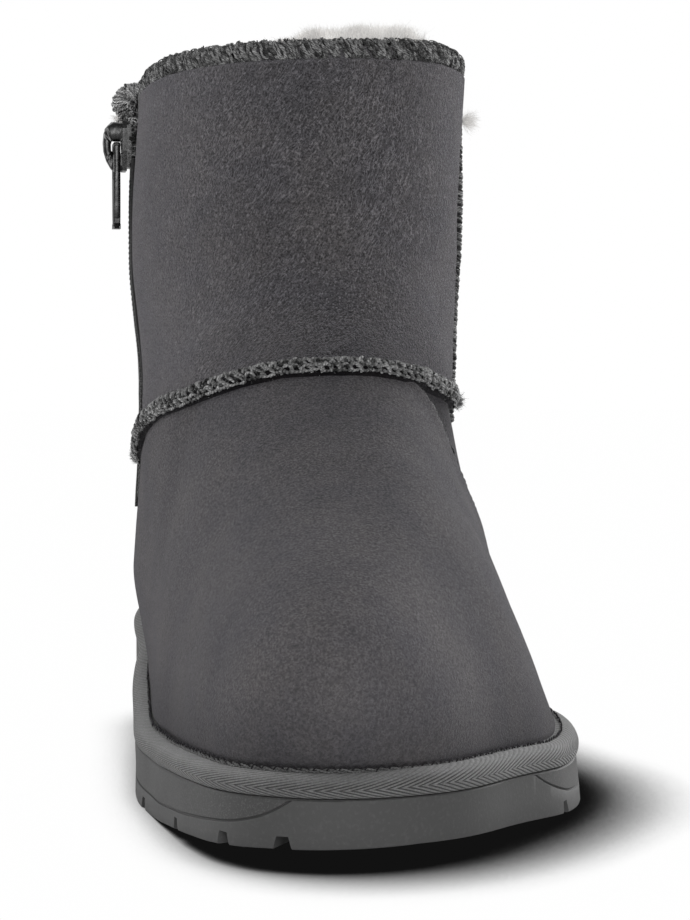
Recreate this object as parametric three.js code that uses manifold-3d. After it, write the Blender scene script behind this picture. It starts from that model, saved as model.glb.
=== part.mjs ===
// A left ankle snow boot: a lined suede upper on a tape-wrapped platform and a lugged outsole, closed by a
// zip on the inner side. Millimetres, +Z up. The origin is on the floor under the middle of the leg opening,
// the toe points along -Y, and the inner (medial) side of the foot is -X.
import * as THREE from "three";
import { mergeVertices } from "three/addons/utils/BufferGeometryUtils.js";
import Module from "manifold-3d";

const wasm = await Module();
wasm.setup();

// ---------------------------------------------------------------- driving dimensions

const FOOT_BACK = 73; // the feather line (where the upper meets the platform) at the heel, behind the origin
const FOOT_LENGTH = 253.5; // along the feather line, heel to toe
const FEATHER_HEIGHT = 21.6; // at the toe, where the upper's levels are counted from
const COLLAR_RISE = 171; // from there to the collar's edge
const COLLAR_SLOPE = 0.03; // the collar is cut a little higher on the outer side
const SLANT_ENDS = 70; // the rise above which the levels no longer follow the heel's lift
const WALL = 6; // suede, backing and the deep pile together
const GAP = 0.3; // between pieces that meet
const PLATFORM_THICKNESS = 4.6;
const PLATFORM_OVERHANG = 4.9; // past the feather line, at the tape's fullest
const OUTSOLE_TOP_OVERHANG = 4.2;
const OUTSOLE_FLARE = { medial: 0, lateral: 1.2 }; // how far the wall leans out on its way down
const INSOLE_THICKNESS = 6;
const TOE_DROP = 0.022; // how the platform falls away, per millimetre, towards the toe's outer side
const ANKLE_FULLNESS = { medial: 0.12, lateral: 0.08 }; // how much wider the upper grows above the heel
const AROUND = 64; // steps around every outline

const NOTCH_PITCH = 24; // between the sole's side notches
const NOTCH_WIDTH = 4.2;
const NOTCH_HEIGHT = 2.8;
const NOTCH_REACH = 13; // inwards from the wall
const NOTCHED = { medial: { toe: 0.4623, heel: 0.07 }, lateral: { toe: 0.6343, heel: 0.93 } };
const CHANNEL = { outer: -7.5, inner: -11, depth: 2.6 }; // the groove that rings the tread's middle
const BAR_PITCH = 15; // of the bars across the middle of the tread
const BAR_GROOVE = 4;

const ZIP_Y = 18; // the zip runs straight up the inner side here
const ZIP_BOTTOM = 68;
const ZIP_OPENING = 9.4; // between the two suede edges
const ZIP_TAPE = { inset: 1.4, thickness: 1.8, stop: 4 }; // behind the suede, and short of the collar
const ZIP_CHAIN = { width: 4.6, proud: 0.9, flat: 0.3 }; // closed, and lying open above the slider
const SLIDER_Z = 171.7;
const SLIDER_FACE = -49.3; // the outside of the slider's plate
const SLIDER = { length: 14.4, width: 9, plate: 1.3, keel: 1.4 };
const BRIDGE = { width: 2.6, thick: 1.4, reach: 5.3 };
const PULL = { width: 7.6, thick: 1.4, length: 24, window: 3.8, windowLength: 9.6, out: 1.6 };

// Half widths of the feather line on each side of the middle line. The end rows hold the radius of the
// round ends.
const OUTLINE = [
  { along: 0.0, middle: 0, medial: 36, lateral: 36 },
  { along: 0.12, middle: 0, medial: 38, lateral: 36.5 },
  { along: 0.28, middle: 0, medial: 41.3, lateral: 38 },
  { along: 0.42, middle: 0, medial: 45.5, lateral: 43.5 },
  { along: 0.54, middle: 2, medial: 49.5, lateral: 50.5 },
  { along: 0.7, middle: 1, medial: 49, lateral: 49.5 },
  { along: 0.8, middle: -3, medial: 43, lateral: 43.5 },
  { along: 0.89, middle: -10, medial: 33, lateral: 33 },
  { along: 1.0, middle: -17, medial: 30, lateral: 30 },
];

// Heights along the sole: its underside, and the seam between the outsole and the platform.
const HEIGHTS = [
  { along: 0.0, ground: 1.5, seam: 33.0 },
  { along: 0.05, ground: 0.0, seam: 32.5 },
  { along: 0.13, ground: 0.0, seam: 30.0 },
  { along: 0.3, ground: 0.0, seam: 20.8 },
  { along: 0.43, ground: 2.4, seam: 15.2 },
  { along: 0.56, ground: 0.0, seam: 12.5 },
  { along: 0.72, ground: 0.0, seam: 12.8 },
  { along: 0.88, ground: 3.0, seam: 15.2 },
  { along: 1.0, ground: 5.2, seam: 16.4 },
];

// The foot's front line from the toe up over the instep, by its rise above the feather line.
const VAMP = [
  { rise: 0, front: -180.5 },
  { rise: 6, front: -182.5 },
  { rise: 14, front: -183 },
  { rise: 22, front: -181.5 },
  { rise: 30, front: -177 },
  { rise: 36, front: -169.5 },
  { rise: 42, front: -159 },
  { rise: 50, front: -142 },
  { rise: 60, front: -121 },
  { rise: 70, front: -103 },
  { rise: 80, front: -88.5 },
  { rise: 90, front: -77 },
  { rise: 100, front: -69 },
  { rise: 112, front: -64 },
  { rise: 130, front: -58 },
  { rise: 190, front: -30 },
];
const NOSE_RISE = 14; // where the toe reaches furthest forward

// How full the vamp's cross-sections are: upright on the inner side, sloping on the outer one, round at the
// toe.
const FULLNESS = [
  { along: 0.38, medial: 2.0, lateral: 1.3 },
  { along: 0.5, medial: 2.0, lateral: 0.85 },
  { along: 0.68, medial: 2.0, lateral: 0.85 },
  { along: 0.82, medial: 2.1, lateral: 1.4 },
  { along: 1.0, medial: 2.3, lateral: 2.2 },
];
const SECTION_SQUARE = { medial: 2.5, lateral: 2 };

// The leg: a row for each height, with its front and back and the half width of each side.
const LEG = [
  { rise: 0, front: -58, back: 73, medial: 42, lateral: 40 },
  { rise: 8, front: -60, back: 76, medial: 44, lateral: 41 },
  { rise: 20, front: -62, back: 77.5, medial: 47, lateral: 41.5 },
  { rise: 45, front: -63, back: 74, medial: 48.5, lateral: 40.5 },
  { rise: 65, front: -63.5, back: 71, medial: 48.5, lateral: 40 },
  { rise: 84, front: -63.5, back: 69, medial: 47, lateral: 41.8 },
  { rise: 126, front: -63.5, back: 67, medial: 47.4, lateral: 43.8 },
  { rise: 170, front: -63, back: 67, medial: 46, lateral: 46.4 },
];
const LEG_ROUNDNESS = 2.3;
const LEG_TAKES_OVER = { from: 48, to: 118 }; // the rises between which the foot's shape becomes the leg's

// ---------------------------------------------------------------- reading a table

// The value of a column at a place, by a cubic through the rows that never overshoots them.
function read(table, key, column, at) {
  const last = table.length - 1;
  if (at <= table[0][key]) return table[0][column];
  if (at >= table[last][key]) return table[last][column];
  let i = 0;
  while (at > table[i + 1][key]) i++;
  const slope = (k) => (table[k + 1][column] - table[k][column]) / (table[k + 1][key] - table[k][key]);
  const tangent = (k) => {
    if (k === 0) return slope(0);
    if (k === last) return slope(last - 1);
    const before = slope(k - 1);
    const after = slope(k);
    return before * after <= 0 ? 0 : (2 * before * after) / (before + after);
  };
  const width = table[i + 1][key] - table[i][key];
  const t = (at - table[i][key]) / width;
  const rise = table[i + 1][column] - table[i][column];
  const start = tangent(i) * width;
  const end = tangent(i + 1) * width;
  return table[i][column] + t * (start + t * (3 * rise - 2 * start - end + t * (start + end - 2 * rise)));
}

const smooth = (from, to, x) => THREE.MathUtils.smoothstep(x, from, to);
const alongOf = (y) => (FOOT_BACK - y) / FOOT_LENGTH;
const groundAt = (y) => read(HEIGHTS, "along", "ground", alongOf(y));
const seamAt = ({ x, y }) =>
  read(HEIGHTS, "along", "seam", alongOf(y)) - TOE_DROP * (x + 45) * smooth(80, 135, -y);
const featherAt = (p) => seamAt(p) + GAP + PLATFORM_THICKNESS + GAP;

// ---------------------------------------------------------------- the last

// Outline rows as widths that only need the sine of the angle: the end rows turn their radius into one.
const BODY = OUTLINE.map((row) => {
  const end = row.along === 0 || row.along === 1;
  const share = 2 * Math.sqrt(row.along * (1 - row.along));
  const bodyOf = (width) => (end ? Math.sqrt((width * FOOT_LENGTH) / 2) : width / share);
  return { along: row.along, middle: row.middle, medial: bodyOf(row.medial), lateral: bodyOf(row.lateral) };
});

const sideOf = (turn) => (turn < 0.5 ? "medial" : "lateral");
const signOf = (side) => (side === "medial" ? -1 : 1);
const middleAt = (y) => read(BODY, "along", "middle", alongOf(y));

function outlineWidth(along, side) {
  const a = THREE.MathUtils.clamp(along, 0, 1);
  return read(BODY, "along", side, a) * 2 * Math.sqrt(a * (1 - a));
}

// A point of the feather line. turn runs from 0 at the heel, over the inner side, to 0.5 at the toe and back.
function featherPoint(turn) {
  const along = (1 - Math.cos(2 * Math.PI * turn)) / 2;
  const side = sideOf(turn);
  const y = FOOT_BACK - along * FOOT_LENGTH;
  return new THREE.Vector2(middleAt(y) + signOf(side) * outlineWidth(along, side), y);
}

// The same line moved out square to itself.
function outlinePoint(turn, offset) {
  const step = 1e-4;
  const along = featherPoint((turn + step) % 1).sub(featherPoint((turn - step + 1) % 1)).normalize();
  return featherPoint(turn).add(new THREE.Vector2(along.y, -along.x).multiplyScalar(offset));
}

// How high the vamp's front line passes over a place along the foot.
function vampCrown(y) {
  let low = NOSE_RISE;
  let high = VAMP[VAMP.length - 1].rise;
  for (let i = 0; i < 24; i++) {
    const mid = (low + high) / 2;
    if (read(VAMP, "rise", "front", mid) < y) low = mid;
    else high = mid;
  }
  return (low + high) / 2;
}

function footWidth(rise, y, ends, side) {
  const height = Math.min(rise / vampCrown(y), 1);
  const section = (1 - height ** read(FULLNESS, "along", side, alongOf(y))) ** (1 / SECTION_SQUARE[side]);
  const fullness = 1 + ANKLE_FULLNESS[side] * smooth(-70, 0, y) * smooth(0, 30, rise);
  return outlineWidth((ends.back - y) / (ends.back - ends.tip), side) * section * fullness;
}

function legWidth(rise, y, ends, side) {
  const across = Math.min(Math.abs((2 * y - ends.front - ends.back) / (ends.back - ends.front)), 1);
  return read(LEG, "rise", side, rise) * (1 - across ** LEG_ROUNDNESS) ** (1 / LEG_ROUNDNESS);
}

function upperEnds(rise) {
  const vamp = read(VAMP, "rise", "front", rise);
  const back = read(LEG, "rise", "back", rise);
  const front = Math.min(vamp, read(LEG, "rise", "front", rise));
  const tip = rise < NOSE_RISE ? vamp : read(VAMP, "rise", "front", NOSE_RISE);
  return { back, front, tip };
}

// A point of the upper's outside, on one side, at a rise above the feather line.
function upperSide(rise, y, side) {
  const ends = upperEnds(rise);
  const foot = footWidth(rise, y, ends, side);
  const leg = legWidth(rise, y, ends, side);
  const width = THREE.MathUtils.lerp(foot, leg, smooth(LEG_TAKES_OVER.from, LEG_TAKES_OVER.to, rise));
  const x = middleAt(y) * (1 - smooth(40, 100, rise)) + signOf(side) * width;
  const slant = Math.max(1 - rise / SLANT_ENDS, 0) ** 2;
  const lift = (featherAt({ x, y }) - FEATHER_HEIGHT) * slant;
  const slope = COLLAR_SLOPE * x * smooth(60, COLLAR_RISE, rise);
  return new THREE.Vector3(x, y, FEATHER_HEIGHT + rise + lift + slope);
}

function upperPoint(rise, turn) {
  const { back, front } = upperEnds(rise);
  return upperSide(rise, back + ((front - back) * (1 - Math.cos(2 * Math.PI * turn))) / 2, sideOf(turn));
}

function upperNormal(rise, turn) {
  const high = Math.min(rise + 0.5, COLLAR_RISE);
  const low = Math.max(rise - 0.5, 0);
  const step = 2e-3;
  const up = upperPoint(high, turn).sub(upperPoint(low, turn));
  const round = upperPoint(rise, (turn + step) % 1).sub(upperPoint(rise, (turn - step + 1) % 1));
  return round.cross(up).normalize();
}

// ---------------------------------------------------------------- making solids

// Closed rings of points, one above the other, as a geometry. Its two ends are closed by strips across
// each ring, or, where tube is set, the last ring joins the first.
function loft(rings, tube = false) {
  const n = rings[0].length;
  const positions = rings.flat().flatMap((p) => [p.x, p.y, p.z]);
  const index = [];
  const walls = tube ? rings.length : rings.length - 1;
  for (let i = 0; i < walls; i++) {
    const below = i * n;
    const above = ((i + 1) % rings.length) * n;
    for (let j = 0; j < n; j++) {
      const k = (j + 1) % n;
      index.push(below + j, below + k, above + k, below + j, above + k, above + j);
    }
  }
  if (!tube) {
    const top = (rings.length - 1) * n;
    for (let j = 0; j < n / 2; j++) {
      const k = j + 1;
      const a = (n - j) % n;
      const b = n - k;
      if (j > 0) index.push(a, k, j, top + a, top + j, top + k);
      if (k < n / 2) index.push(a, b, k, top + a, top + k, top + b);
    }
  }
  const geometry = new THREE.BufferGeometry();
  geometry.setAttribute("position", new THREE.Float32BufferAttribute(positions, 3));
  geometry.setIndex(index);
  return geometry;
}

function solid(geometry) {
  const clean = new THREE.BufferGeometry();
  clean.setAttribute("position", geometry.getAttribute("position"));
  if (geometry.index) clean.setIndex(geometry.index);
  const merged = mergeVertices(clean, 1e-4);
  return new wasm.Manifold(
    new wasm.Mesh({
      numProp: 3,
      vertProperties: new Float32Array(merged.getAttribute("position").array),
      triVerts: new Uint32Array(merged.index.array),
    }),
  );
}

function geometryOf(manifold) {
  const mesh = manifold.getMesh();
  const geometry = new THREE.BufferGeometry();
  geometry.setAttribute("position", new THREE.Float32BufferAttribute(Array.from(mesh.vertProperties), 3));
  geometry.setIndex(Array.from(mesh.triVerts));
  return geometry;
}

// A flat outline given as [x, y] pairs, pulled out along +Z.
function prism(outline, depth) {
  const shape = new THREE.Shape(outline.map(([x, y]) => new THREE.Vector2(x, y)));
  return new THREE.ExtrudeGeometry(shape, { depth, bevelEnabled: false });
}

function block(x0, x1, y0, y1, z0, z1) {
  const size = new THREE.BoxGeometry(x1 - x0, y1 - y0, z1 - z0);
  return size.translate((x0 + x1) / 2, (y0 + y1) / 2, (z0 + z1) / 2);
}

const turns = Array.from({ length: AROUND }, (_, j) => j / AROUND);

// ---------------------------------------------------------------- the sole

// One ring of a sole layer: the outline moved out by an offset, at a height that follows the foot.
function layerRing(offsetAt, heightAt) {
  return turns.map((turn) => {
    const p = outlinePoint(turn, offsetAt(turn));
    return new THREE.Vector3(p.x, p.y, heightAt(p));
  });
}

// The wall's lean differs from side to side and is level at the heel's and the toe's ends.
function flareAt(turn) {
  const lean = Math.sin(2 * Math.PI * turn);
  return lean > 0 ? OUTSOLE_FLARE.medial * lean : -OUTSOLE_FLARE.lateral * lean;
}

// A notch in the sole's bottom edge, narrowing upwards, that runs in from the wall.
function notch(turn) {
  const at = outlinePoint(turn, OUTSOLE_TOP_OVERHANG);
  const inside = outlinePoint(turn, OUTSOLE_TOP_OVERHANG - NOTCH_REACH);
  const half = NOTCH_WIDTH / 2;
  const outline = [
    [-half - 0.5, -5],
    [half + 0.5, -5],
    [half, 0],
    [half * 0.62, NOTCH_HEIGHT],
    [-half * 0.62, NOTCH_HEIGHT],
    [-half, 0],
  ];
  const shape = prism(outline, NOTCH_REACH + 6);
  shape.rotateX(Math.PI / 2);
  shape.rotateZ(Math.atan2(at.y - inside.y, at.x - inside.x) + Math.PI / 2);
  return shape.translate(inside.x, inside.y, groundAt(at.y));
}

// Places along a side, one pitch apart, from the toe bumper's end to the heel.
function notchTurns({ toe, heel }) {
  const places = [toe];
  const step = Math.sign(heel - toe) * 1e-3;
  let walked = 0;
  for (let turn = toe; Math.abs(heel - turn) > 1e-3; turn += step) {
    walked += outlinePoint(turn, 0).distanceTo(outlinePoint(turn + step, 0));
    if (walked < NOTCH_PITCH) continue;
    walked = 0;
    places.push(turn);
  }
  return places;
}

// A slab of the tread's middle, from below the ground to a height above the sole's underside.
function treadSlab(offset, up) {
  const under = layerRing(() => offset, () => -4);
  const over = layerRing(() => offset, ({ y }) => groundAt(y) + up);
  return solid(loft([under, over]));
}

function outsoleShape() {
  const body = loft([
    layerRing((turn) => OUTSOLE_TOP_OVERHANG + flareAt(turn) - 0.5, ({ y }) => groundAt(y)),
    layerRing((turn) => OUTSOLE_TOP_OVERHANG + flareAt(turn), ({ y }) => groundAt(y) + 0.5),
    layerRing(() => OUTSOLE_TOP_OVERHANG, seamAt),
  ]);
  let sole = solid(body);
  for (const side of [NOTCHED.medial, NOTCHED.lateral]) {
    for (const turn of notchTurns(side)) sole = sole.subtract(solid(notch(turn)));
  }
  const middle = treadSlab(CHANNEL.outer, CHANNEL.depth);
  const channel = middle.subtract(treadSlab(CHANNEL.inner, CHANNEL.depth + 1));
  sole = sole.subtract(channel);
  for (let y = FOOT_BACK - 18; y > FOOT_BACK - FOOT_LENGTH + 15; y -= BAR_PITCH) {
    const groove = block(-80, 80, y - BAR_GROOVE / 2, y + BAR_GROOVE / 2, -4, 30);
    sole = sole.subtract(middle.intersect(solid(groove)));
  }
  return geometryOf(sole);
}

// The platform's edge is rounded over like the tape that is drawn round it.
function platformShape() {
  const edge = [
    { up: 0, out: 0.86 },
    { up: 0.2, out: 0.98 },
    { up: 0.42, out: 1 },
    { up: 0.68, out: 0.86 },
    { up: 0.88, out: 0.55 },
    { up: 1, out: 0.1 },
  ];
  return loft(
    edge.map(({ up, out }) =>
      layerRing(() => PLATFORM_OVERHANG * out, (p) => seamAt(p) + GAP + PLATFORM_THICKNESS * up),
    ),
  );
}

// ---------------------------------------------------------------- the upper

const UPPER_RISES = [
  0, 2.5, 6, 10, 14, 19, 24, 29, 34, 39, 45, 52, 60, 69, 78, 88, 98, 110, 124, 140, 155, 168,
];

function inward(rise, turn, depth) {
  return upperPoint(rise, turn).addScaledVector(upperNormal(rise, turn), -depth);
}

function upperShape() {
  const outer = UPPER_RISES.map((rise) => turns.map((turn) => upperPoint(rise, turn)));
  const inner = UPPER_RISES.map((rise) =>
    turns.map((turn) => {
      const p = inward(rise, turn, WALL);
      if (rise === 0) p.z = featherAt(p);
      return p;
    }),
  );
  const rim = turns.map((turn) => inward(COLLAR_RISE, turn, WALL * 0.3));
  const lip = turns.map((turn) => inward(COLLAR_RISE, turn, WALL * 0.7));
  const slot = block(-70, -30, ZIP_Y - ZIP_OPENING / 2, ZIP_Y + ZIP_OPENING / 2, ZIP_BOTTOM, 240);
  return geometryOf(solid(loft([...outer, rim, lip, ...inner.reverse()], true)).subtract(solid(slot)));
}

// The footbed fills the bottom of the upper, wall to wall.
function insoleShape() {
  const room = [0, ...UPPER_RISES.slice(0, 9)].map((rise, i) =>
    turns.map((turn) => {
      const p = inward(rise, turn, WALL + 0.6);
      if (i < 2) p.z = featherAt(p) - (i === 0 ? 5 : 0);
      return p;
    }),
  );
  const slab = [0, INSOLE_THICKNESS].map((up) => layerRing(() => 8, (p) => featherAt(p) + up));
  return geometryOf(solid(loft(room)).intersect(solid(loft(slab))));
}

// ---------------------------------------------------------------- the zip

// The rise at which the inner side reaches a height on the zip's line.
function riseAtHeight(z) {
  let low = 0;
  let high = COLLAR_RISE;
  for (let i = 0; i < 30; i++) {
    const mid = (low + high) / 2;
    if (upperSide(mid, ZIP_Y, "medial").z < z) low = mid;
    else high = mid;
  }
  return low;
}

// The strip, a ring for each height, with the closed chain as a ridge that flattens under the slider.
function zipTapeShape() {
  const half = ZIP_OPENING / 2 - GAP;
  const tooth = ZIP_CHAIN.width / 2;
  const bottom = ZIP_BOTTOM + GAP;
  const top = upperSide(COLLAR_RISE, ZIP_Y, "medial").z - ZIP_TAPE.stop;
  const chainTop = SLIDER_Z - SLIDER.length / 2 - 0.8;
  const chained = Array.from({ length: 10 }, (_, i) => bottom + ((chainTop - bottom) * i) / 9);
  const plain = [chainTop + 0.5, SLIDER_Z, top];
  const rings = [...chained, ...plain].map((z) => {
    const face = upperSide(riseAtHeight(z), ZIP_Y, "medial").x + ZIP_TAPE.inset;
    const back = face + ZIP_TAPE.thickness;
    const proud = face - (z > chainTop ? ZIP_CHAIN.flat : ZIP_CHAIN.proud);
    const front = [
      [face, half],
      [face, tooth + 0.5],
      [proud, tooth],
      [proud, -tooth],
      [face, -tooth - 0.5],
      [face, -half],
    ];
    const behind = front.map(([, y]) => [back, y]).reverse();
    return [...front, ...behind].map(([x, y]) => new THREE.Vector3(x, ZIP_Y + y, z));
  });
  return loft(rings);
}

function sliderShape() {
  const half = SLIDER.length / 2;
  const wide = SLIDER.width / 2;
  const plate = prism(
    [
      [-wide * 0.72, -half],
      [wide * 0.72, -half],
      [wide * 0.9, -half * 0.2],
      [wide, half * 0.7],
      [wide * 0.7, half],
      [wide * 0.2, half * 0.8],
      [-wide * 0.2, half * 0.8],
      [-wide * 0.7, half],
      [-wide, half * 0.7],
      [-wide * 0.9, -half * 0.2],
    ],
    SLIDER.plate,
  );
  plate.rotateX(Math.PI / 2).rotateZ(Math.PI / 2);
  plate.translate(SLIDER_FACE, ZIP_Y, SLIDER_Z);
  const reach = BRIDGE.reach;
  const bridge = prism(
    [
      [0.6, -half],
      [-reach * 0.45, -half * 0.93],
      [-reach * 0.86, -half * 0.5],
      [-reach, half * 0.1],
      [-reach * 0.92, half * 0.72],
      [-reach * 0.6, half * 0.97],
      [0.6, half * 0.97],
      [0.6, half * 0.74],
      [-reach * 0.55, half * 0.72],
      [-reach + BRIDGE.thick, half * 0.5],
      [-reach + BRIDGE.thick, half * 0.1],
      [-reach * 0.86 + BRIDGE.thick, -half * 0.36],
      [0.6, -half * 0.72],
    ],
    BRIDGE.width,
  );
  bridge.rotateX(Math.PI / 2);
  bridge.translate(SLIDER_FACE, ZIP_Y + BRIDGE.width / 2, SLIDER_Z);
  const back = SLIDER_FACE + SLIDER.plate;
  const keel = block(back - 0.5, back + SLIDER.keel, -2.9, 2.9, 1 - half, half - 1);
  keel.translate(0, ZIP_Y, SLIDER_Z);
  return geometryOf(solid(plate).add(solid(bridge)).add(solid(keel)));
}

// The pull hangs from a bar under the bridge. Its window lets the bridge through as it swings.
function pullShape() {
  const wide = PULL.width / 2;
  const plate = prism(
    [
      [-wide * 0.8, 1.1],
      [-wide, 0.3],
      [-wide, -PULL.length * 0.5],
      [-wide * 0.82, -PULL.length + 1.6],
      [-wide * 0.5, -PULL.length],
      [wide * 0.5, -PULL.length],
      [wide * 0.82, -PULL.length + 1.6],
      [wide, -PULL.length * 0.5],
      [wide, 0.3],
      [wide * 0.8, 1.1],
    ],
    PULL.thick,
  );
  plate.rotateX(Math.PI / 2).rotateZ(Math.PI / 2).translate(-PULL.thick / 2, 0, 0);
  const opening = block(-3, 3, -PULL.window / 2, PULL.window / 2, -PULL.windowLength, -0.7);
  const knob = block(-1.15, 1.15, -wide * 0.5, wide * 0.5, -PULL.length, -PULL.length + 1.4);
  const pull = solid(plate).subtract(solid(opening)).add(solid(knob));
  return geometryOf(pull).translate(SLIDER_FACE - PULL.out, ZIP_Y, SLIDER_Z);
}

// ---------------------------------------------------------------- the boot

const boot = new THREE.Group();

function add(name, geometry, colour, roughness, metalness = 0) {
  const material = new THREE.MeshStandardMaterial({ color: colour, roughness, metalness });
  const mesh = new THREE.Mesh(geometry, material);
  mesh.name = name;
  boot.add(mesh);
  return mesh;
}

add("outsole", outsoleShape(), 0x4a4a4b, 0.7);
add("platform", platformShape(), 0x5c5c5d, 0.85);
add("insole", insoleShape(), 0xb9b6b2, 0.95);
add("upper", upperShape(), 0x4f4e51, 0.95);
add("zip_tape", zipTapeShape(), 0x2e2e30, 0.8);
add("zip_slider", sliderShape(), 0x1d1d1f, 0.35, 0.9);
add("zip_pull", pullShape(), 0x1d1d1f, 0.35, 0.9);

export default boot;
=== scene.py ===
# %% [markdown]
# # A lined suede snow boot, dressed over its plain CAD frame
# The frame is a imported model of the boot's solids: outsole, platform, insole, upper, zip tape, slider
# and pull. This script keeps every one of their places and sizes, and gives each surface what the real
# one shows: napped suede in sewn panels, chunky overlocked seams, a herringbone tape, wool pile and a
# black metal zip. Lengths are in millimetres until a mesh is made, because a boot is measured that way.

import math

import bmesh
import bpy
import numpy as np
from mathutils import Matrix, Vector


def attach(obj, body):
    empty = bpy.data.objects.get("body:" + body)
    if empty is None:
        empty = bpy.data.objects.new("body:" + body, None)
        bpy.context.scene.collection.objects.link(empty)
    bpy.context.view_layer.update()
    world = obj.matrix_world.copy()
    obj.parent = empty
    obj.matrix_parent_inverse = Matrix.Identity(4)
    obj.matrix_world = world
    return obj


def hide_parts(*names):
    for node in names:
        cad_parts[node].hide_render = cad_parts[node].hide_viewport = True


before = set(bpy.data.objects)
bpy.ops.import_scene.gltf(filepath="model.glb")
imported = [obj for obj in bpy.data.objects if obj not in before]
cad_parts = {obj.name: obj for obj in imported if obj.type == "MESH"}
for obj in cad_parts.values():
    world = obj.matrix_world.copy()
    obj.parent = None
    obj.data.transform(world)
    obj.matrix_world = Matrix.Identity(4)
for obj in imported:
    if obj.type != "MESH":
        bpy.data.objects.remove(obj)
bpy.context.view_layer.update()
MM = 0.001

# %% [markdown]
# ## The last
# A shoe is built over a last, the foot-shaped form that gives it its curves. The same few tables that
# shape the CAD upper are written here again, so that panels, seams and fur can be laid on the boot by
# two numbers: how far up (rise) and how far round (turn, from 0 at the heel, over the inner side, to 0.5
# at the toe and back).

# %% Tables of the last
FOOT_BACK, FOOT_LENGTH = 73, 253.5
FEATHER_HEIGHT = 21.6
COLLAR_RISE, COLLAR_SLOPE = 171, 0.03
SLANT_ENDS = 70
GAP = 0.3
PLATFORM_THICKNESS, PLATFORM_OVERHANG = 4.6, 4.9
OUTSOLE_OVERHANG, OUTSOLE_FLARE = 4.2, 1.2
TOE_DROP = 0.022
ANKLE_FULLNESS = {"medial": 0.12, "lateral": 0.08}
NOSE_RISE = 14
SECTION_SQUARE = {"medial": 2.5, "lateral": 2}
LEG_ROUNDNESS = 2.3
LEG_TAKES_OVER = (48, 118)

OUTLINE = {
    "along": (0, 0.12, 0.28, 0.42, 0.54, 0.7, 0.8, 0.89, 1),
    "middle": (0, 0, 0, 0, 2, 1, -3, -10, -17),
    "medial": (36, 38, 41.3, 45.5, 49.5, 49, 43, 33, 30),
    "lateral": (36, 36.5, 38, 43.5, 50.5, 49.5, 43.5, 33, 30),
}
HEIGHTS = {
    "along": (0, 0.05, 0.13, 0.3, 0.43, 0.56, 0.72, 0.88, 1),
    "ground": (1.5, 0, 0, 0, 2.4, 0, 0, 3, 5.2),
    "seam": (33, 32.5, 30, 20.8, 15.2, 12.5, 12.8, 15.2, 16.4),
}
VAMP = {
    "rise": (0, 6, 14, 22, 30, 36, 42, 50, 60, 70, 80, 90, 100, 112, 130, 190),
    "front": (-180.5, -182.5, -183, -181.5, -177, -169.5, -159, -142, -121, -103, -88.5, -77, -69, -64, -58,
              -30),
}
FULLNESS = {
    "along": (0.38, 0.5, 0.68, 0.82, 1),
    "medial": (2, 2, 2, 2.1, 2.3),
    "lateral": (1.3, 0.85, 0.85, 1.4, 2.2),
}
LEG = {
    "rise": (0, 8, 20, 45, 65, 84, 126, 170),
    "front": (-58, -60, -62, -63, -63.5, -63.5, -63.5, -63),
    "back": (73, 76, 77.5, 74, 71, 69, 67, 67),
    "medial": (42, 44, 47, 48.5, 48.5, 47, 47.4, 46),
    "lateral": (40, 41, 41.5, 40.5, 40, 41.8, 43.8, 46.4),
}


def read(table, column, at):
    """A column's value at places along the first column, by a cubic that never overshoots the rows."""
    x = np.array(next(iter(table.values())), float)
    y = np.array(table[column], float)
    slope = np.diff(y) / np.diff(x)
    before, after = slope[:-1], slope[1:]
    total = np.where(before + after == 0, 1, before + after)
    inner = np.where(before * after <= 0, 0, 2 * before * after / total)
    tangent = np.concatenate([slope[:1], inner, slope[-1:]])
    at = np.clip(at, x[0], x[-1])
    i = np.clip(np.searchsorted(x, at, side="right") - 1, 0, len(x) - 2)
    width = x[i + 1] - x[i]
    t = (at - x[i]) / width
    gain, start, end = y[i + 1] - y[i], tangent[i] * width, tangent[i + 1] * width
    return y[i] + t * (start + t * (3 * gain - 2 * start - end + t * (start + end - 2 * gain)))


def smooth(low, high, x):
    """0 below low, 1 above high, and an even curve between."""
    t = np.clip((x - low) / (high - low), 0, 1)
    return t * t * (3 - 2 * t)


def mix(a, b, t):
    return a + (b - a) * t


def unit(vectors):
    return vectors / np.maximum(np.linalg.norm(vectors, axis=-1, keepdims=True), 1e-9)


# %% The foot's outline and heights
ALONG = np.array(OUTLINE["along"])
IS_END = (ALONG == 0) | (ALONG == 1)
SHARE = 2 * np.sqrt(np.where(IS_END, 1, ALONG * (1 - ALONG)))


def body_row(widths):
    """Half widths freed of the outline's round ends, whose rows hold a radius."""
    return np.where(IS_END, np.sqrt(np.array(widths) * FOOT_LENGTH / 2), np.array(widths) / SHARE)


BODY = {
    "along": OUTLINE["along"],
    "middle": OUTLINE["middle"],
    "medial": body_row(OUTLINE["medial"]),
    "lateral": body_row(OUTLINE["lateral"]),
}


def along_of(y):
    return (FOOT_BACK - y) / FOOT_LENGTH


def ground_at(y):
    return read(HEIGHTS, "ground", along_of(y))


def seam_at(x, y):
    return read(HEIGHTS, "seam", along_of(y)) - TOE_DROP * (x + 45) * smooth(80, 135, -y)


def feather_at(x, y):
    return seam_at(x, y) + GAP + PLATFORM_THICKNESS + GAP


def middle_at(y):
    return read(BODY, "middle", along_of(y))


def by_side(turn, of):
    """of('medial') on the inner half of the turn and of('lateral') on the outer half."""
    return np.where(turn % 1 < 0.5, of("medial"), of("lateral"))


def side_sign(turn):
    return np.where(turn % 1 < 0.5, -1.0, 1.0)


def outline_width(along, side):
    a = np.clip(along, 0, 1)
    return read(BODY, side, a) * 2 * np.sqrt(a * (1 - a))


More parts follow.
